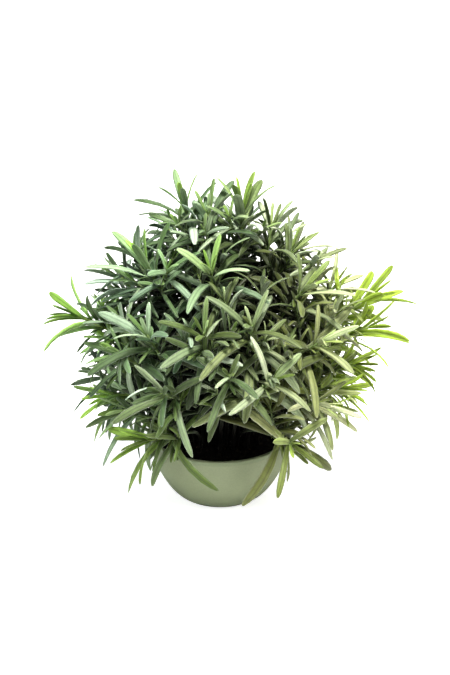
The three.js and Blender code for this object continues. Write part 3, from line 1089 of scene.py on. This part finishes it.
def grain_group():
    """A group shared by every finish: two sizes of noise on Object coordinates. Puts out masks of
    the coarse patches and the fine grain, and a height: the first plus a share of the second."""
    name = "Natural grain"
    if name in bpy.data.node_groups:
        return bpy.data.node_groups[name]
    tree = bpy.data.node_groups.new(name, "ShaderNodeTree")
    for label in ("Patch scale", "Grain scale", "Grain share"):
        tree.interface.new_socket(name=label, in_out="INPUT", socket_type="NodeSocketFloat")
    for label in ("Patches", "Grain", "Height"):
        tree.interface.new_socket(name=label, in_out="OUTPUT", socket_type="NodeSocketFloat")
    inputs = tree.nodes.new("NodeGroupInput")
    outputs = tree.nodes.new("NodeGroupOutput")
    place = tree.nodes.new("ShaderNodeTexCoord").outputs["Object"]
    masks = []
    for label, detail in (("Patch scale", 3.0), ("Grain scale", 2.0)):
        values = {"Vector": place, "Scale": inputs.outputs[label], "Detail": detail}
        noise = add_node(tree, "ShaderNodeTexNoise", values)
        masks.append(map_smooth(tree, noise.outputs["Fac"], 0.3, 0.7))
    weighted = calculate(tree, "MULTIPLY", masks[1], inputs.outputs["Grain share"])
    tree.links.new(masks[0], outputs.inputs["Patches"])
    tree.links.new(masks[1], outputs.inputs["Grain"])
    tree.links.new(calculate(tree, "ADD", masks[0], weighted), outputs.inputs["Height"])
    return tree


def grain_node(finish, patch_scale, grain_scale, grain_share):
    values = {"Patch scale": patch_scale, "Grain scale": grain_scale, "Grain share": grain_share}
    return finish.add("ShaderNodeGroup", values, node_tree=grain_group()).outputs


def leaf_finish(settings):
    """Felted leaf: the colour goes by the side of the plant, paler with felt below, at the margins
    and at the tip, and fresh or yellow-green when young. The groove above the rib is darkened with
    painted shade, and the lightness goes by the leaf's tone, which carries painted shade and painted
    light, and by its youth. Felt by the tone whitens lit leaves, partly as a painted highlight."""
    finish = Finish("Felted leaf")
    tree = finish.tree
    blade = finish.attribute("blade")
    growth = finish.attribute("growth")
    across = calculate(tree, "ABSOLUTE", blade["X"])
    along = blade["Y"]
    youth = growth["X"]
    tone = growth["Y"]
    tint = growth["Z"]
    grain = grain_node(finish, 110.0, 1500.0, 0.6)

    colour = finish.mix(tint, settings.cool_leaf, settings.warm_leaf)
    felt = finish.mix(tint, settings.felt, settings.warm_felt)
    # Rows are: what the felt goes by, where it starts and is full, and how much it covers there.
    for source, low, high, share in (
        (blade["Z"], 0.25, 0.9, 0.5),
        # Felt by the tone: real felt on pale leaves, and a painted highlight on leaves that the
        # painted light makes lighter.
        (tone, 0.4, 1.0, 0.68),
        (across, 0.72, 0.98, 0.32),
        (along, 0.965, 0.995, 0.5),
    ):
        colour = finish.mix(finish.ramp(source, low, high, 0.0, share), colour, felt)
    young = finish.mix(tint, settings.fresh_leaf, settings.young_leaf)
    colour = finish.mix(youth, colour, young)
    colour = finish.mix(finish.ramp(along, 0.02, 0.24, 0.5, 0.0), colour, settings.stalk)
    lightness = finish.ramp(grain["Grain"], 0.0, 1.0, 0.9, 1.08)
    # Rows are: what the lightness goes by, from and to, and the factors at its ends.
    for source, low, high, dark, light in (
        (grain["Patches"], 0.0, 1.0, 0.92, 1.08),
        # Painted shade: darker along the middle of the blade, in the groove above the rib.
        (across, 0.0, 0.3, 0.68, 1.0),
        # Painted shade and light: the tone darkens leaves deep in the plant and lightens shoots by
        # their place.
        (tone, 0.0, 0.9, 0.1, 1.44),
        (youth, 0.3, 1.0, 1.0, 1.28),
    ):
        factor = finish.ramp(source, low, high, dark, light)
        lightness = calculate(tree, "MULTIPLY", lightness, factor)
    shaded = finish.add("ShaderNodeHueSaturation", {"Color": colour, "Value": lightness})

    roughness = finish.ramp(grain["Grain"], 0.0, 1.0, 0.5, 0.66)
    groove = finish.ramp(across, 0.0, 0.16, 0.0, 1.0)
    height = calculate(tree, "ADD", groove, calculate(tree, "MULTIPLY", grain["Height"], 0.35))
    finish.dress(shaded.outputs["Color"], roughness, height, 0.6, 0.0003)
    finish.shader.inputs["Specular IOR Level"].default_value = 0.4
    finish.shader.inputs["Sheen Weight"].default_value = 0.14
    finish.shader.inputs["Sheen Roughness"].default_value = 0.4
    finish.shader.inputs["Sheen Tint"].default_value = (0.95, 1.0, 0.86, 1.0)
    return finish.material


def stem_finish(settings):
    """Downy stem: yellow-green at the tip, duller green below, and a woody brown at the foot that is
    darkened near black as painted shade.
    """
    finish = Finish("Downy stem")
    along = finish.attribute("blade")["Y"]
    youth = finish.attribute("growth")["X"]
    grain = grain_node(finish, 160.0, 1800.0, 0.6)
    young = finish.ramp(along, 0.45, 0.95)
    colour = finish.mix(young, settings.stem, settings.stalk)
    bright = calculate(finish.tree, "MULTIPLY", youth, young)
    colour = finish.mix(bright, colour, settings.young_leaf)
    colour = finish.mix(finish.ramp(grain["Grain"], 0.2, 1.0, 0.0, 0.22), colour, settings.felt)
    # Woody brown at the foot, darkened near black as painted shade so it sinks into the shadow.
    colour = finish.mix(finish.ramp(along, 0.12, 0.5, 1.0, 0.0), colour, settings.woody_and_shade)
    roughness = finish.ramp(grain["Patches"], 0.0, 1.0, 0.55, 0.8)
    finish.dress(colour, roughness, grain["Height"], 0.5, 0.0002)
    finish.shader.inputs["Sheen Weight"].default_value = 0.2
    return finish.material


def pot_finish(settings):
    """Sage glaze, smooth and satin: soft cloudy patches, faint level turning lines, a darker band
    under the rim that is a painted shadow, and a paler rim edge that is a painted highlight."""
    finish = Finish("Sage glaze")
    tree = finish.tree
    place = finish.add("ShaderNodeTexCoord").outputs["Object"]
    height = finish.add("ShaderNodeSeparateXYZ", {"Vector": place}).outputs["Z"]
    grain = grain_node(finish, 22.0, 700.0, 0.12)
    cloud = finish.ramp(grain["Patches"], 0.0, 1.0)
    colour = finish.mix(cloud, settings.glaze_dark, settings.glaze)
    # The painted shadow and the painted highlight lie so many metres under the top of the rim.
    rim = (POT["height"] + POT["lip_rise"]) * MM
    # Painted shadow: a darker band under the rim.
    band_up = finish.ramp(height, rim - 0.0052, rim - 0.0026)
    band_down = finish.ramp(height, rim - 0.0016, rim - 0.0006, 1.0, 0.0)
    band = calculate(tree, "MULTIPLY", calculate(tree, "MULTIPLY", band_up, band_down), 0.5)
    colour = finish.mix(band, colour, settings.rim_shadow)
    # Painted highlight: a paler edge on the rim.
    edge = finish.ramp(height, rim - 0.0009, rim - 0.0001, 0.0, 0.35)
    colour = finish.mix(edge, colour, settings.rim_highlight)
    speckle = finish.ramp(grain["Grain"], 0.0, 1.0, 0.97, 1.02)
    shaded = finish.add("ShaderNodeHueSaturation", {"Color": colour, "Value": speckle})
    stretch = finish.add("ShaderNodeMapping", {"Vector": place, "Scale": (3.0, 3.0, 260.0)})
    values = {"Vector": stretch.outputs["Vector"], "Scale": 1.0, "Detail": 2.0}
    lines = finish.add("ShaderNodeTexNoise", values).outputs["Fac"]
    relief = calculate(tree, "ADD", lines, calculate(tree, "MULTIPLY", grain["Height"], 0.5))
    roughness = finish.ramp(grain["Patches"], 0.0, 1.0, 0.42, 0.56)
    finish.dress(shaded.outputs["Color"], roughness, relief, 0.25, 0.0003)
    finish.shader.inputs["Specular IOR Level"].default_value = 0.4
    return finish.material


def soil_finish(settings):
    """Damp potting soil: near black, with browner lumps and a fine crumb."""
    finish = Finish("Damp soil")
    grain = grain_node(finish, 240.0, 1400.0, 0.8)
    colour = finish.mix(grain["Patches"], settings.soil, settings.soil_lump)
    crumb = finish.ramp(grain["Grain"], 0.55, 1.0, 0.0, 0.4)
    colour = finish.mix(crumb, colour, settings.soil_crumb)
    roughness = finish.ramp(grain["Patches"], 0.0, 1.0, 0.75, 0.95)
    finish.dress(colour, roughness, grain["Height"], 0.9, 0.0006)
    finish.shader.inputs["Specular IOR Level"].default_value = 0.2
    return finish.material


def bark_finish(settings):
    """Bits of bark and peat on the soil, brown, with a coarse grain."""
    finish = Finish("Bark crumb")
    grain = grain_node(finish, 300.0, 1600.0, 0.7)
    colour = finish.mix(finish.attribute("growth")["X"], settings.soil_lump, settings.bark)
    colour = finish.mix(finish.ramp(grain["Grain"], 0.4, 1.0, 0.0, 0.5), colour, settings.soil)
    roughness = finish.ramp(grain["Patches"], 0.0, 1.0, 0.7, 0.9)
    finish.dress(colour, roughness, grain["Height"], 0.7, 0.0003)
    return finish.material


def bowl_radius(height):
    """The bowl's outer radius: a round heel that flares and then stands up to the rim."""
    share = 1 - (1 - np.clip(height / POT["height"], 0, 1)) ** POT["curve_rise"]
    flare = (POT["rim_radius"] - POT["foot_radius"]) * share ** POT["curve_flare"]
    return POT["foot_radius"] + flare


def pot_profile():
    """Radius and height from the middle of the foot round the outside, over a half-round lip and
    down the inside to the middle of the floor."""
    rise = np.linspace(0, 1, BOWL_MESH["outer"]) ** BOWL_MESH["gather"]
    outer_height = rise * (POT["height"] - BOWL_MESH["outer_top"])
    outer = np.stack([bowl_radius(outer_height), outer_height], 1)
    heel = np.array([[POT["foot_radius"] - inset, 0.0] for inset in BOWL_MESH["heel"]])
    turn = np.linspace(0, math.pi, BOWL_MESH["lip"])
    half = POT["wall"] / 2
    lip_radius = POT["rim_radius"] - half
    lip_height = POT["height"] + POT["lip_rise"] - half
    lip = np.stack([lip_radius + half * np.cos(turn), lip_height + half * np.sin(turn)], 1)
    inner_top = POT["height"] - BOWL_MESH["inner_top"]
    inner_foot = POT["floor"] + BOWL_MESH["inner_foot"]
    inner_height = np.linspace(inner_top, inner_foot, BOWL_MESH["inner"])
    inner = np.stack([bowl_radius(inner_height) - POT["wall"], inner_height], 1)
    return np.vstack([[[0.0, 0.0]], heel, outer[1:], lip, inner, [[0.0, POT["floor"]]]])


def lathe(profile, sides):
    """A profile from axis to axis turned round Z: rings of points between two pole points."""
    turn = np.arange(sides) * 2 * math.pi / sides
    inner = profile[1:-1]
    rings = np.stack([
        inner[:, 0][:, None] * np.cos(turn),
        inner[:, 0][:, None] * np.sin(turn),
        np.repeat(inner[:, 1][:, None], sides, 1),
    ], -1)
    bottom = [[0.0, 0.0, profile[0, 1]]]
    top = [[0.0, 0.0, profile[-1, 1]]]
    points = np.vstack([bottom, rings.reshape(-1, 3), top])
    j = np.arange(sides)
    k = (j + 1) % sides
    ring = (1 + np.arange(len(inner) - 1) * sides)[:, None]
    quads = np.stack([ring + j, ring + k, ring + sides + k, ring + sides + j], -1).reshape(-1, 4)
    first = np.stack([np.zeros(sides, int), 1 + k, 1 + j], -1)
    last_ring = 1 + (len(inner) - 1) * sides
    last = np.stack([np.full(sides, len(points) - 1), last_ring + j, last_ring + k], -1)
    return points, [quads, first, last]


def soil_surface(draws):
    """Soil: level rings whose height is a sum of crossed waves with seeded phases, calm at the
    wall, over a plain side and bottom that keep clear of the bowl."""
    surface_radius = float(bowl_radius(SOIL["top"])) - POT["wall"] - SOIL["clearance"]
    low = np.linspace(SOIL["bottom"], SOIL["top"] - SOIL_MESH["side_top"], SOIL_MESH["side"])
    side_radius = bowl_radius(low) - POT["wall"] - SOIL["clearance"] - SOIL_MESH["side_gap"]
    side = np.stack([side_radius, low], 1)
    edge = surface_radius - SOIL_MESH["edge"]
    radius = np.linspace(edge, SOIL_MESH["centre"], SOIL_MESH["rings"])
    top = np.stack([radius, np.full(len(radius), SOIL["top"])], 1)
    profile = np.vstack([[[0.0, SOIL["bottom"]]], side, top, [[0.0, SOIL["top"]]]])
    points, groups = lathe(profile, SOIL_MESH["sides"])
    x, y = points[:, 0], points[:, 1]
    height = np.zeros(len(points))
    for wave_length, size in WAVES:
        for _ in range(WAVES_CROSSED):
            heading = draws.between(0, 2 * math.pi)
            phase = draws.between(0, 2 * math.pi)
            reach = 2 * math.pi / (wave_length * draws.between(*WAVE_STRETCH))
            ahead = x * math.cos(heading) + y * math.sin(heading)
            height += size * np.sin(reach * ahead + phase) / 2
    calm = np.clip((surface_radius - np.hypot(x, y)) / SOIL_MESH["calm"], 0, 1)
    on_top = points[:, 2] > SOIL["top"] - 0.1
    points[:, 2] += np.where(on_top, height * calm - SOIL_MESH["sunk"], 0)
    return points, groups


def crumb_surface(draws, count):
    """Crumbs: small uneven balls of three rings, stretched, turned and half sunk."""
    surface_radius = float(bowl_radius(SOIL["top"])) - POT["wall"] - CRUMB["wall_gap"]
    lift = np.radians([-45.0, 0.0, 45.0])
    profile = np.vstack([[0.0, -1.0], np.stack([np.cos(lift), np.sin(lift)], 1), [0.0, 1.0]])
    ball, groups = lathe(profile, CRUMB["sides"])
    points = []
    tones = []
    faces = []
    for index in range(count):
        radius = surface_radius * math.sqrt(draws.between(0, 1))
        angle = draws.between(0, 2 * math.pi)
        size = CRUMB["least"] + CRUMB["more"] * draws.between(0, 1) ** CRUMB["rarity"]
        scale = np.array([size * draws.between(*stretch) for stretch in CRUMB["stretch"]])
        bumps = np.array([draws.between(*CRUMB["bumps"]) for _ in range(len(ball))])[:, None]
        heading = draws.between(0, 2 * math.pi)
        cosine, sine = math.cos(heading), math.sin(heading)
        x, y, z = (ball * bumps * scale).T
        turned = np.stack([x * cosine - y * sine, x * sine + y * cosine, z], -1)
        height = SOIL["top"] - CRUMB["sunk"] + CRUMB["raised"] * size
        centre = np.array([radius * math.cos(angle), radius * math.sin(angle), height])
        points.append(turned + centre)
        tone = 1.0 if draws.between(0, 1) < CRUMB["bark_share"] else draws.between(*CRUMB["tone"])
        tones.append(np.tile([tone, 0.0, 0.0], (len(ball), 1)))
        faces += list_faces(groups, index * len(ball))
    return np.vstack(points), np.vstack(tones), faces


class LavenderPotSettings(bpy.types.PropertyGroup):
    """The finish of the pot and the soil."""

    sides: IntProperty(name="Sides", description="Faces round the pot", default=128, min=24)
    glaze: FloatVectorProperty(
        name="Glaze", description="Sage glaze", subtype="COLOR", default=(0.275, 0.312, 0.194)
    )
    glaze_dark: FloatVectorProperty(
        name="Cloud", description="Cloudy patches",
        subtype="COLOR", default=(0.252, 0.290, 0.174)
    )
    # Painted shadow under the rim.
    rim_shadow: FloatVectorProperty(
        name="Band", description="Band under the rim",
        subtype="COLOR", default=(0.17, 0.225, 0.125)
    )
    # Painted highlight on the rim's edge.
    rim_highlight: FloatVectorProperty(
        name="Rim edge", description="Thin glaze on the rim",
        subtype="COLOR", default=(0.40, 0.43, 0.31)
    )
    crumbs: IntProperty(name="Crumbs", description="Loose crumbs on the soil", default=420, min=0)
    soil: FloatVectorProperty(
        name="Soil", description="Damp soil", subtype="COLOR", default=(0.020, 0.017, 0.015)
    )
    soil_lump: FloatVectorProperty(
        name="Lumps", description="Browner lumps",
        subtype="COLOR", default=(0.027, 0.022, 0.017)
    )
    soil_crumb: FloatVectorProperty(
        name="Crumb", description="Fine crumb", subtype="COLOR", default=(0.034, 0.026, 0.019)
    )
    bark: FloatVectorProperty(
        name="Bark", description="Pale bits of bark",
        subtype="COLOR", default=(0.16, 0.11, 0.065)
    )


class LavenderFoliageSettings(bpy.types.PropertyGroup):
    """The form and finish of the foliage."""

    leaf_width: FloatProperty(
        name="Leaf width", description="Fine width over the plain one",
        default=1.06, min=0.5, max=1.5, subtype="FACTOR"
    )
    box_margin: FloatProperty(
        name="Box margin", description="Room kept to the box", default=0.002, unit="LENGTH"
    )
    cool_leaf: FloatVectorProperty(
        name="Cool leaf", description="Grey-green leaf",
        subtype="COLOR", default=(0.068, 0.136, 0.055)
    )
    warm_leaf: FloatVectorProperty(
        name="Warm leaf", description="Olive leaf",
        subtype="COLOR", default=(0.164, 0.190, 0.044)
    )
    fresh_leaf: FloatVectorProperty(
        name="Fresh leaf", description="Young leaf, cool side",
        subtype="COLOR", default=(0.152, 0.268, 0.05)
    )
    young_leaf: FloatVectorProperty(
        name="Young leaf", description="Young leaf, warm side",
        subtype="COLOR", default=(0.205, 0.285, 0.035)
    )
    felt: FloatVectorProperty(
        name="Felt", description="Whitish felt", subtype="COLOR", default=(0.43, 0.53, 0.45)
    )
    warm_felt: FloatVectorProperty(
        name="Warm felt", description="Felt on olive leaves",
        subtype="COLOR", default=(0.53, 0.55, 0.39)
    )
    stalk: FloatVectorProperty(
        name="Stalk", description="Leaf stalks and stem tips",
        subtype="COLOR", default=(0.17, 0.25, 0.06)
    )
    stem: FloatVectorProperty(
        name="Stem", description="Green stem", subtype="COLOR", default=(0.08, 0.11, 0.04)
    )
    # Woody brown, darkened near black as painted shade.
    woody_and_shade: FloatVectorProperty(
        name="Foot", description="Brown foot of the stem",
        subtype="COLOR", default=(0.012, 0.009, 0.006)
    )


class LavenderStageSettings(bpy.types.PropertyGroup):
    """The camera, lights and floor."""

    elevation: FloatProperty(
        name="Elevation", description="Camera above the level",
        default=math.radians(24.0), subtype="ANGLE"
    )
    distance: FloatProperty(
        name="Distance", description="Camera to the middle of the plant",
        default=1.3, unit="LENGTH"
    )
    aim: FloatVectorProperty(
        name="Aim", description="The point looked at",
        default=(0.00407, 0.0, 0.1386), subtype="XYZ"
    )
    lens: FloatProperty(
        name="Lens", description="Focal length on a 36 mm sensor", default=85.28, unit="CAMERA"
    )
    key_power: FloatProperty(
        name="Key light", description="Power of the key light", default=40.0, unit="POWER"
    )
    fill_power: FloatProperty(
        name="Fill light", description="Power of the fill light", default=8.0, unit="POWER"
    )
    sky: FloatProperty(name="Sky", description="Strength of the even light", default=0.12, min=0.0)


class LAVENDER_OT_pot(bpy.types.Operator):
    """Builds the glazed bowl"""

    bl_idname = "lavender.pot"
    bl_label = "Pot"

    def execute(self, context):
        settings = context.scene.lavender_pot
        points, groups = lathe(pot_profile(), settings.sides)
        pot = new_piece("Glazed_bowl", points, list_faces(groups), [pot_finish(settings)])
        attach(pot, BODY)
        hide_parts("pot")
        return {"FINISHED"}


class LAVENDER_OT_soil(bpy.types.Operator):
    """Builds the soil and its crumbs"""

    bl_idname = "lavender.soil"
    bl_label = "Soil"

    def execute(self, context):
        settings = context.scene.lavender_pot
        draws = Draws(SOIL_SEED)
        points, groups = soil_surface(draws)
        soil = new_piece("Potting_soil", points, list_faces(groups), [soil_finish(settings)])
        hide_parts("soil")
        points, tones, faces = crumb_surface(draws, settings.crumbs)
        values = {"growth": tones}
        crumbs = new_piece("Soil_crumbs", points, faces, [bark_finish(settings)], attributes=values)
        for piece in (soil, crumbs):
            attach(piece, BODY)
        return {"FINISHED"}


class LAVENDER_OT_foliage(bpy.types.Operator):
    """Grows the plant and builds one piece for each leafy stem"""

    bl_idname = "lavender.foliage"
    bl_label = "Foliage"

    def execute(self, context):
        settings = context.scene.lavender_foliage
        materials = [leaf_finish(settings), stem_finish(settings)]
        shoots, canopy = grow_frame_plant()
        draws = Draws(ADDED_SEED)
        allowed = make_allowed(settings)
        add_sprigs(shoots, canopy, draws, allowed)
        add_lower_pairs(shoots, canopy, draws, allowed)
        add_axil_leaves(shoots, canopy, draws, allowed)
        for shoot in shoots:
            piece = build_shoot(shoot, settings, materials, draws)
            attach(piece, BODY)
            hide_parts(f"shoot_{shoot['number']:02d}")
        return {"FINISHED"}


def leaf_youth(bright, order):
    """How yellow-green a leaf is: more on bright shoots, and less with each pair further down."""
    by_pair = SHOOT_LOOK["youth_by_pair"] * (order - SHOOT_LOOK["young_pair"])
    return clamp(SHOOT_LOOK["youth"] * bright - SHOOT_LOOK["youth_lag"] + by_pair)


def build_shoot(shoot, settings, materials, draws):
    """One leafy stem with its side sprigs as one piece."""
    bright = BRIGHT.get(shoot["number"], draws.between(*SHOOT_LOOK["brightness"]))
    sprig_bright = bright * SHOOT_LOOK["sprig_brightness"]
    small_youth = SHOOT_LOOK["small_youth"] + SHOOT_LOOK["small_youth"] * bright
    tip = shoot["curve"][3]
    height = tip[2] - DOME["middle"][2]
    tint = SHOOT_LOOK["tint"] + tip[0] / SHOOT_LOOK["tint_right"] - height / SHOOT_LOOK["tint_up"]
    tint = clamp(tint + draws.stray(SHOOT_LOOK["stray"]))
    # Painted light: the shoot's tone is lighter to the right and above and below the plant's middle.
    tone = SHOOT_LOOK["tone"] + tip[0] / SHOOT_LOOK["painted_light_right"]
    tone = tone + abs(height) / SHOOT_LOOK["painted_light_off_middle"] + draws.stray(SHOOT_LOOK["stray"])
    for leaf in shoot["leaves"]:
        dress_leaf(leaf, leaf_youth(bright, leaf["order"]), tone, tint, draws)
    for leaf in shoot["small"]:
        dress_leaf(leaf, small_youth, tone, tint, draws)
    nodes = [section["share"] for section in shoot["sections"][2::2]]
    foot = shoot["curve"][0] - UP * STEM["buried"]
    growth = (bright, SHOOT_LOOK["stem_tone"], tint)
    parts = [(*stem_surface(shoot, STEM, foot, nodes, growth, *STEM_MESH), STEM_SLOT)]
    growth = (sprig_bright, SHOOT_LOOK["stem_tone"], tint)
    for sprig in shoot["sprigs"]:
        for leaf in sprig["leaves"]:
            dress_leaf(leaf, leaf_youth(sprig_bright, leaf["order"]), tone, tint, draws)
        parts.append((*stem_surface(sprig, SPRIG, None, [], growth, *SPRIG_MESH), STEM_SLOT))
    large = shoot["leaves"] + [leaf for sprig in shoot["sprigs"] for leaf in sprig["leaves"]]
    parts.append((*blade_surface(large, BLADE_STATIONS, BLADE_SECTION, settings), LEAF_SLOT))
    if shoot["small"]:
        small = blade_surface(shoot["small"], SMALL_STATIONS, SMALL_SECTION, settings)
        parts.append((*small, LEAF_SLOT))
    points, blade, growth, faces, slots = join_surfaces(parts)
    name = f"Leafy_stem_{shoot['number']:02d}"
    return new_piece(name, points, faces, materials, slots, {"blade": blade, "growth": growth})


def aim(thing, place, target):
    thing.location = place
    thing.rotation_euler = (Vector(target) - Vector(place)).to_track_quat("-Z", "Y").to_euler()


def add_area(name, place, size, power, colour):
    data = bpy.data.lights.new(name, "AREA")
    data.shape = "DISK"
    data.size = size
    data.energy = power
    data.color = colour
    light = bpy.data.objects.new(name, data)
    bpy.context.scene.collection.objects.link(light)
    aim(light, place, LIT_POINT)


def stage_surface():
    """The floor and backdrop in one: level, then curved up by a quarter circle behind."""
    turn = np.linspace(*BACKDROP["turn"])
    depth = np.concatenate([
        [BACKDROP["front"], BACKDROP["bend"]],
        BACKDROP["bend"] + BACKDROP["radius"] * np.sin(turn),
        [BACKDROP["back"]],
    ])
    rise = np.concatenate([[0.0, 0.0], BACKDROP["radius"] * (1 - np.cos(turn)), [BACKDROP["top"]]])
    width = np.array([-1, 1]) * BACKDROP["half_width"]
    grid = np.stack([
        np.repeat(width[None, :], len(depth), 0),
        np.repeat(depth[:, None], 2, 1),
        np.repeat(rise[:, None], 2, 1),
    ], -1)
    rows = (np.arange(len(depth) - 1) * 2)[:, None]
    faces = np.concatenate([rows, rows + 1, rows + 3, rows + 2], 1)
    return grid.reshape(-1, 3) / MM, faces.tolist()


class LAVENDER_OT_stage(bpy.types.Operator):
    """Sets the camera, the lights and the pale floor"""

    bl_idname = "lavender.stage"
    bl_label = "Stage"

    def execute(self, context):
        settings = context.scene.lavender_stage
        scene = context.scene
        scene.view_settings.view_transform = "Standard"
        scene.view_settings.look = "Medium High Contrast"
        target = Vector(settings.aim)
        lift = settings.elevation
        camera_data = bpy.data.cameras.new("Camera")
        camera_data.lens = settings.lens
        camera_data.sensor_width = 36.0
        camera_data.clip_start = 0.05
        camera_data.clip_end = 20.0
        camera = bpy.data.objects.new("Camera", camera_data)
        scene.collection.objects.link(camera)
        back = Vector((0.0, -math.cos(lift), math.sin(lift)))
        aim(camera, target + back * settings.distance, target)
        scene.camera = camera

        floor = new_piece("Stage_floor", *stage_surface(), [self.floor_finish()])
        floor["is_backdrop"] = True
        for name, place, size, power, share, colour in LIGHTS:
            add_area(name, place, size, getattr(settings, power) * share, colour)
        world = bpy.data.worlds.new("Even light")
        world.use_nodes = True
        background = world.node_tree.nodes["Background"]
        background.inputs["Color"].default_value = SKY_COLOUR
        seen = add_node(world.node_tree, "ShaderNodeLightPath").outputs["Is Camera Ray"]
        strength = calculate(world.node_tree, "MAXIMUM", seen, settings.sky)
        world.node_tree.links.new(strength, background.inputs["Strength"])
        scene.world = world
        return {"FINISHED"}

    def floor_finish(self):
        finish = Finish("Pale floor")
        finish.shader.inputs["Base Color"].default_value = (0.8, 0.8, 0.8, 1.0)
        finish.shader.inputs["Roughness"].default_value = 0.9
        finish.shader.inputs["Specular IOR Level"].default_value = 0.1
        finish.shader.inputs["Emission Color"].default_value = (1.0, 1.0, 1.0, 1.0)
        seen = finish.add("ShaderNodeLightPath").outputs["Is Camera Ray"]
        glow = calculate(finish.tree, "MULTIPLY", seen, FLOOR_GLOW)
        finish.link(glow, finish.shader.inputs["Emission Strength"])
        return finish.material


class LAVENDER_PT_panel(bpy.types.Panel):
    """Lists the parts of the plant and its stage"""

    bl_idname = "LAVENDER_PT_panel"
    bl_label = "Lavender"
    bl_space_type = "VIEW_3D"
    bl_region_type = "UI"
    bl_category = "Lavender"

    def draw(self, context):
        scene = context.scene
        for operator in STEPS:
            self.layout.operator(operator)
        for name, group in SETTINGS.items():
            box = self.layout.box()
            for key in group.__annotations__:
                box.prop(getattr(scene, name), key)


SETTINGS = {
    "lavender_pot": LavenderPotSettings,
    "lavender_foliage": LavenderFoliageSettings,
    "lavender_stage": LavenderStageSettings,
}
STEPS = ("lavender.stage", "lavender.pot", "lavender.soil", "lavender.foliage")
OPERATORS = (
    LAVENDER_OT_pot,
    LAVENDER_OT_soil,
    LAVENDER_OT_foliage,
    LAVENDER_OT_stage,
    LAVENDER_PT_panel,
)


def register():
    for kind in (*SETTINGS.values(), *OPERATORS):
        bpy.utils.register_class(kind)
    for name, group in SETTINGS.items():
        setattr(bpy.types.Scene, name, PointerProperty(type=group))


def unregister():
    for name in SETTINGS:
        delattr(bpy.types.Scene, name)
    for kind in (*OPERATORS[::-1], *reversed(SETTINGS.values())):
        bpy.utils.unregister_class(kind)


def write_sizes():
    boxes = {"cad": CAD_BOX, "visual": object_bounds()}
    {name: [list(corner) for corner in box] for name, box in boxes.items()}


def main():
    register()
    bpy.ops.lavender.stage()
    bpy.ops.lavender.pot()
    bpy.ops.lavender.soil()
    bpy.ops.lavender.foliage()
    write_sizes()


if __name__ == "__main__":
    main()
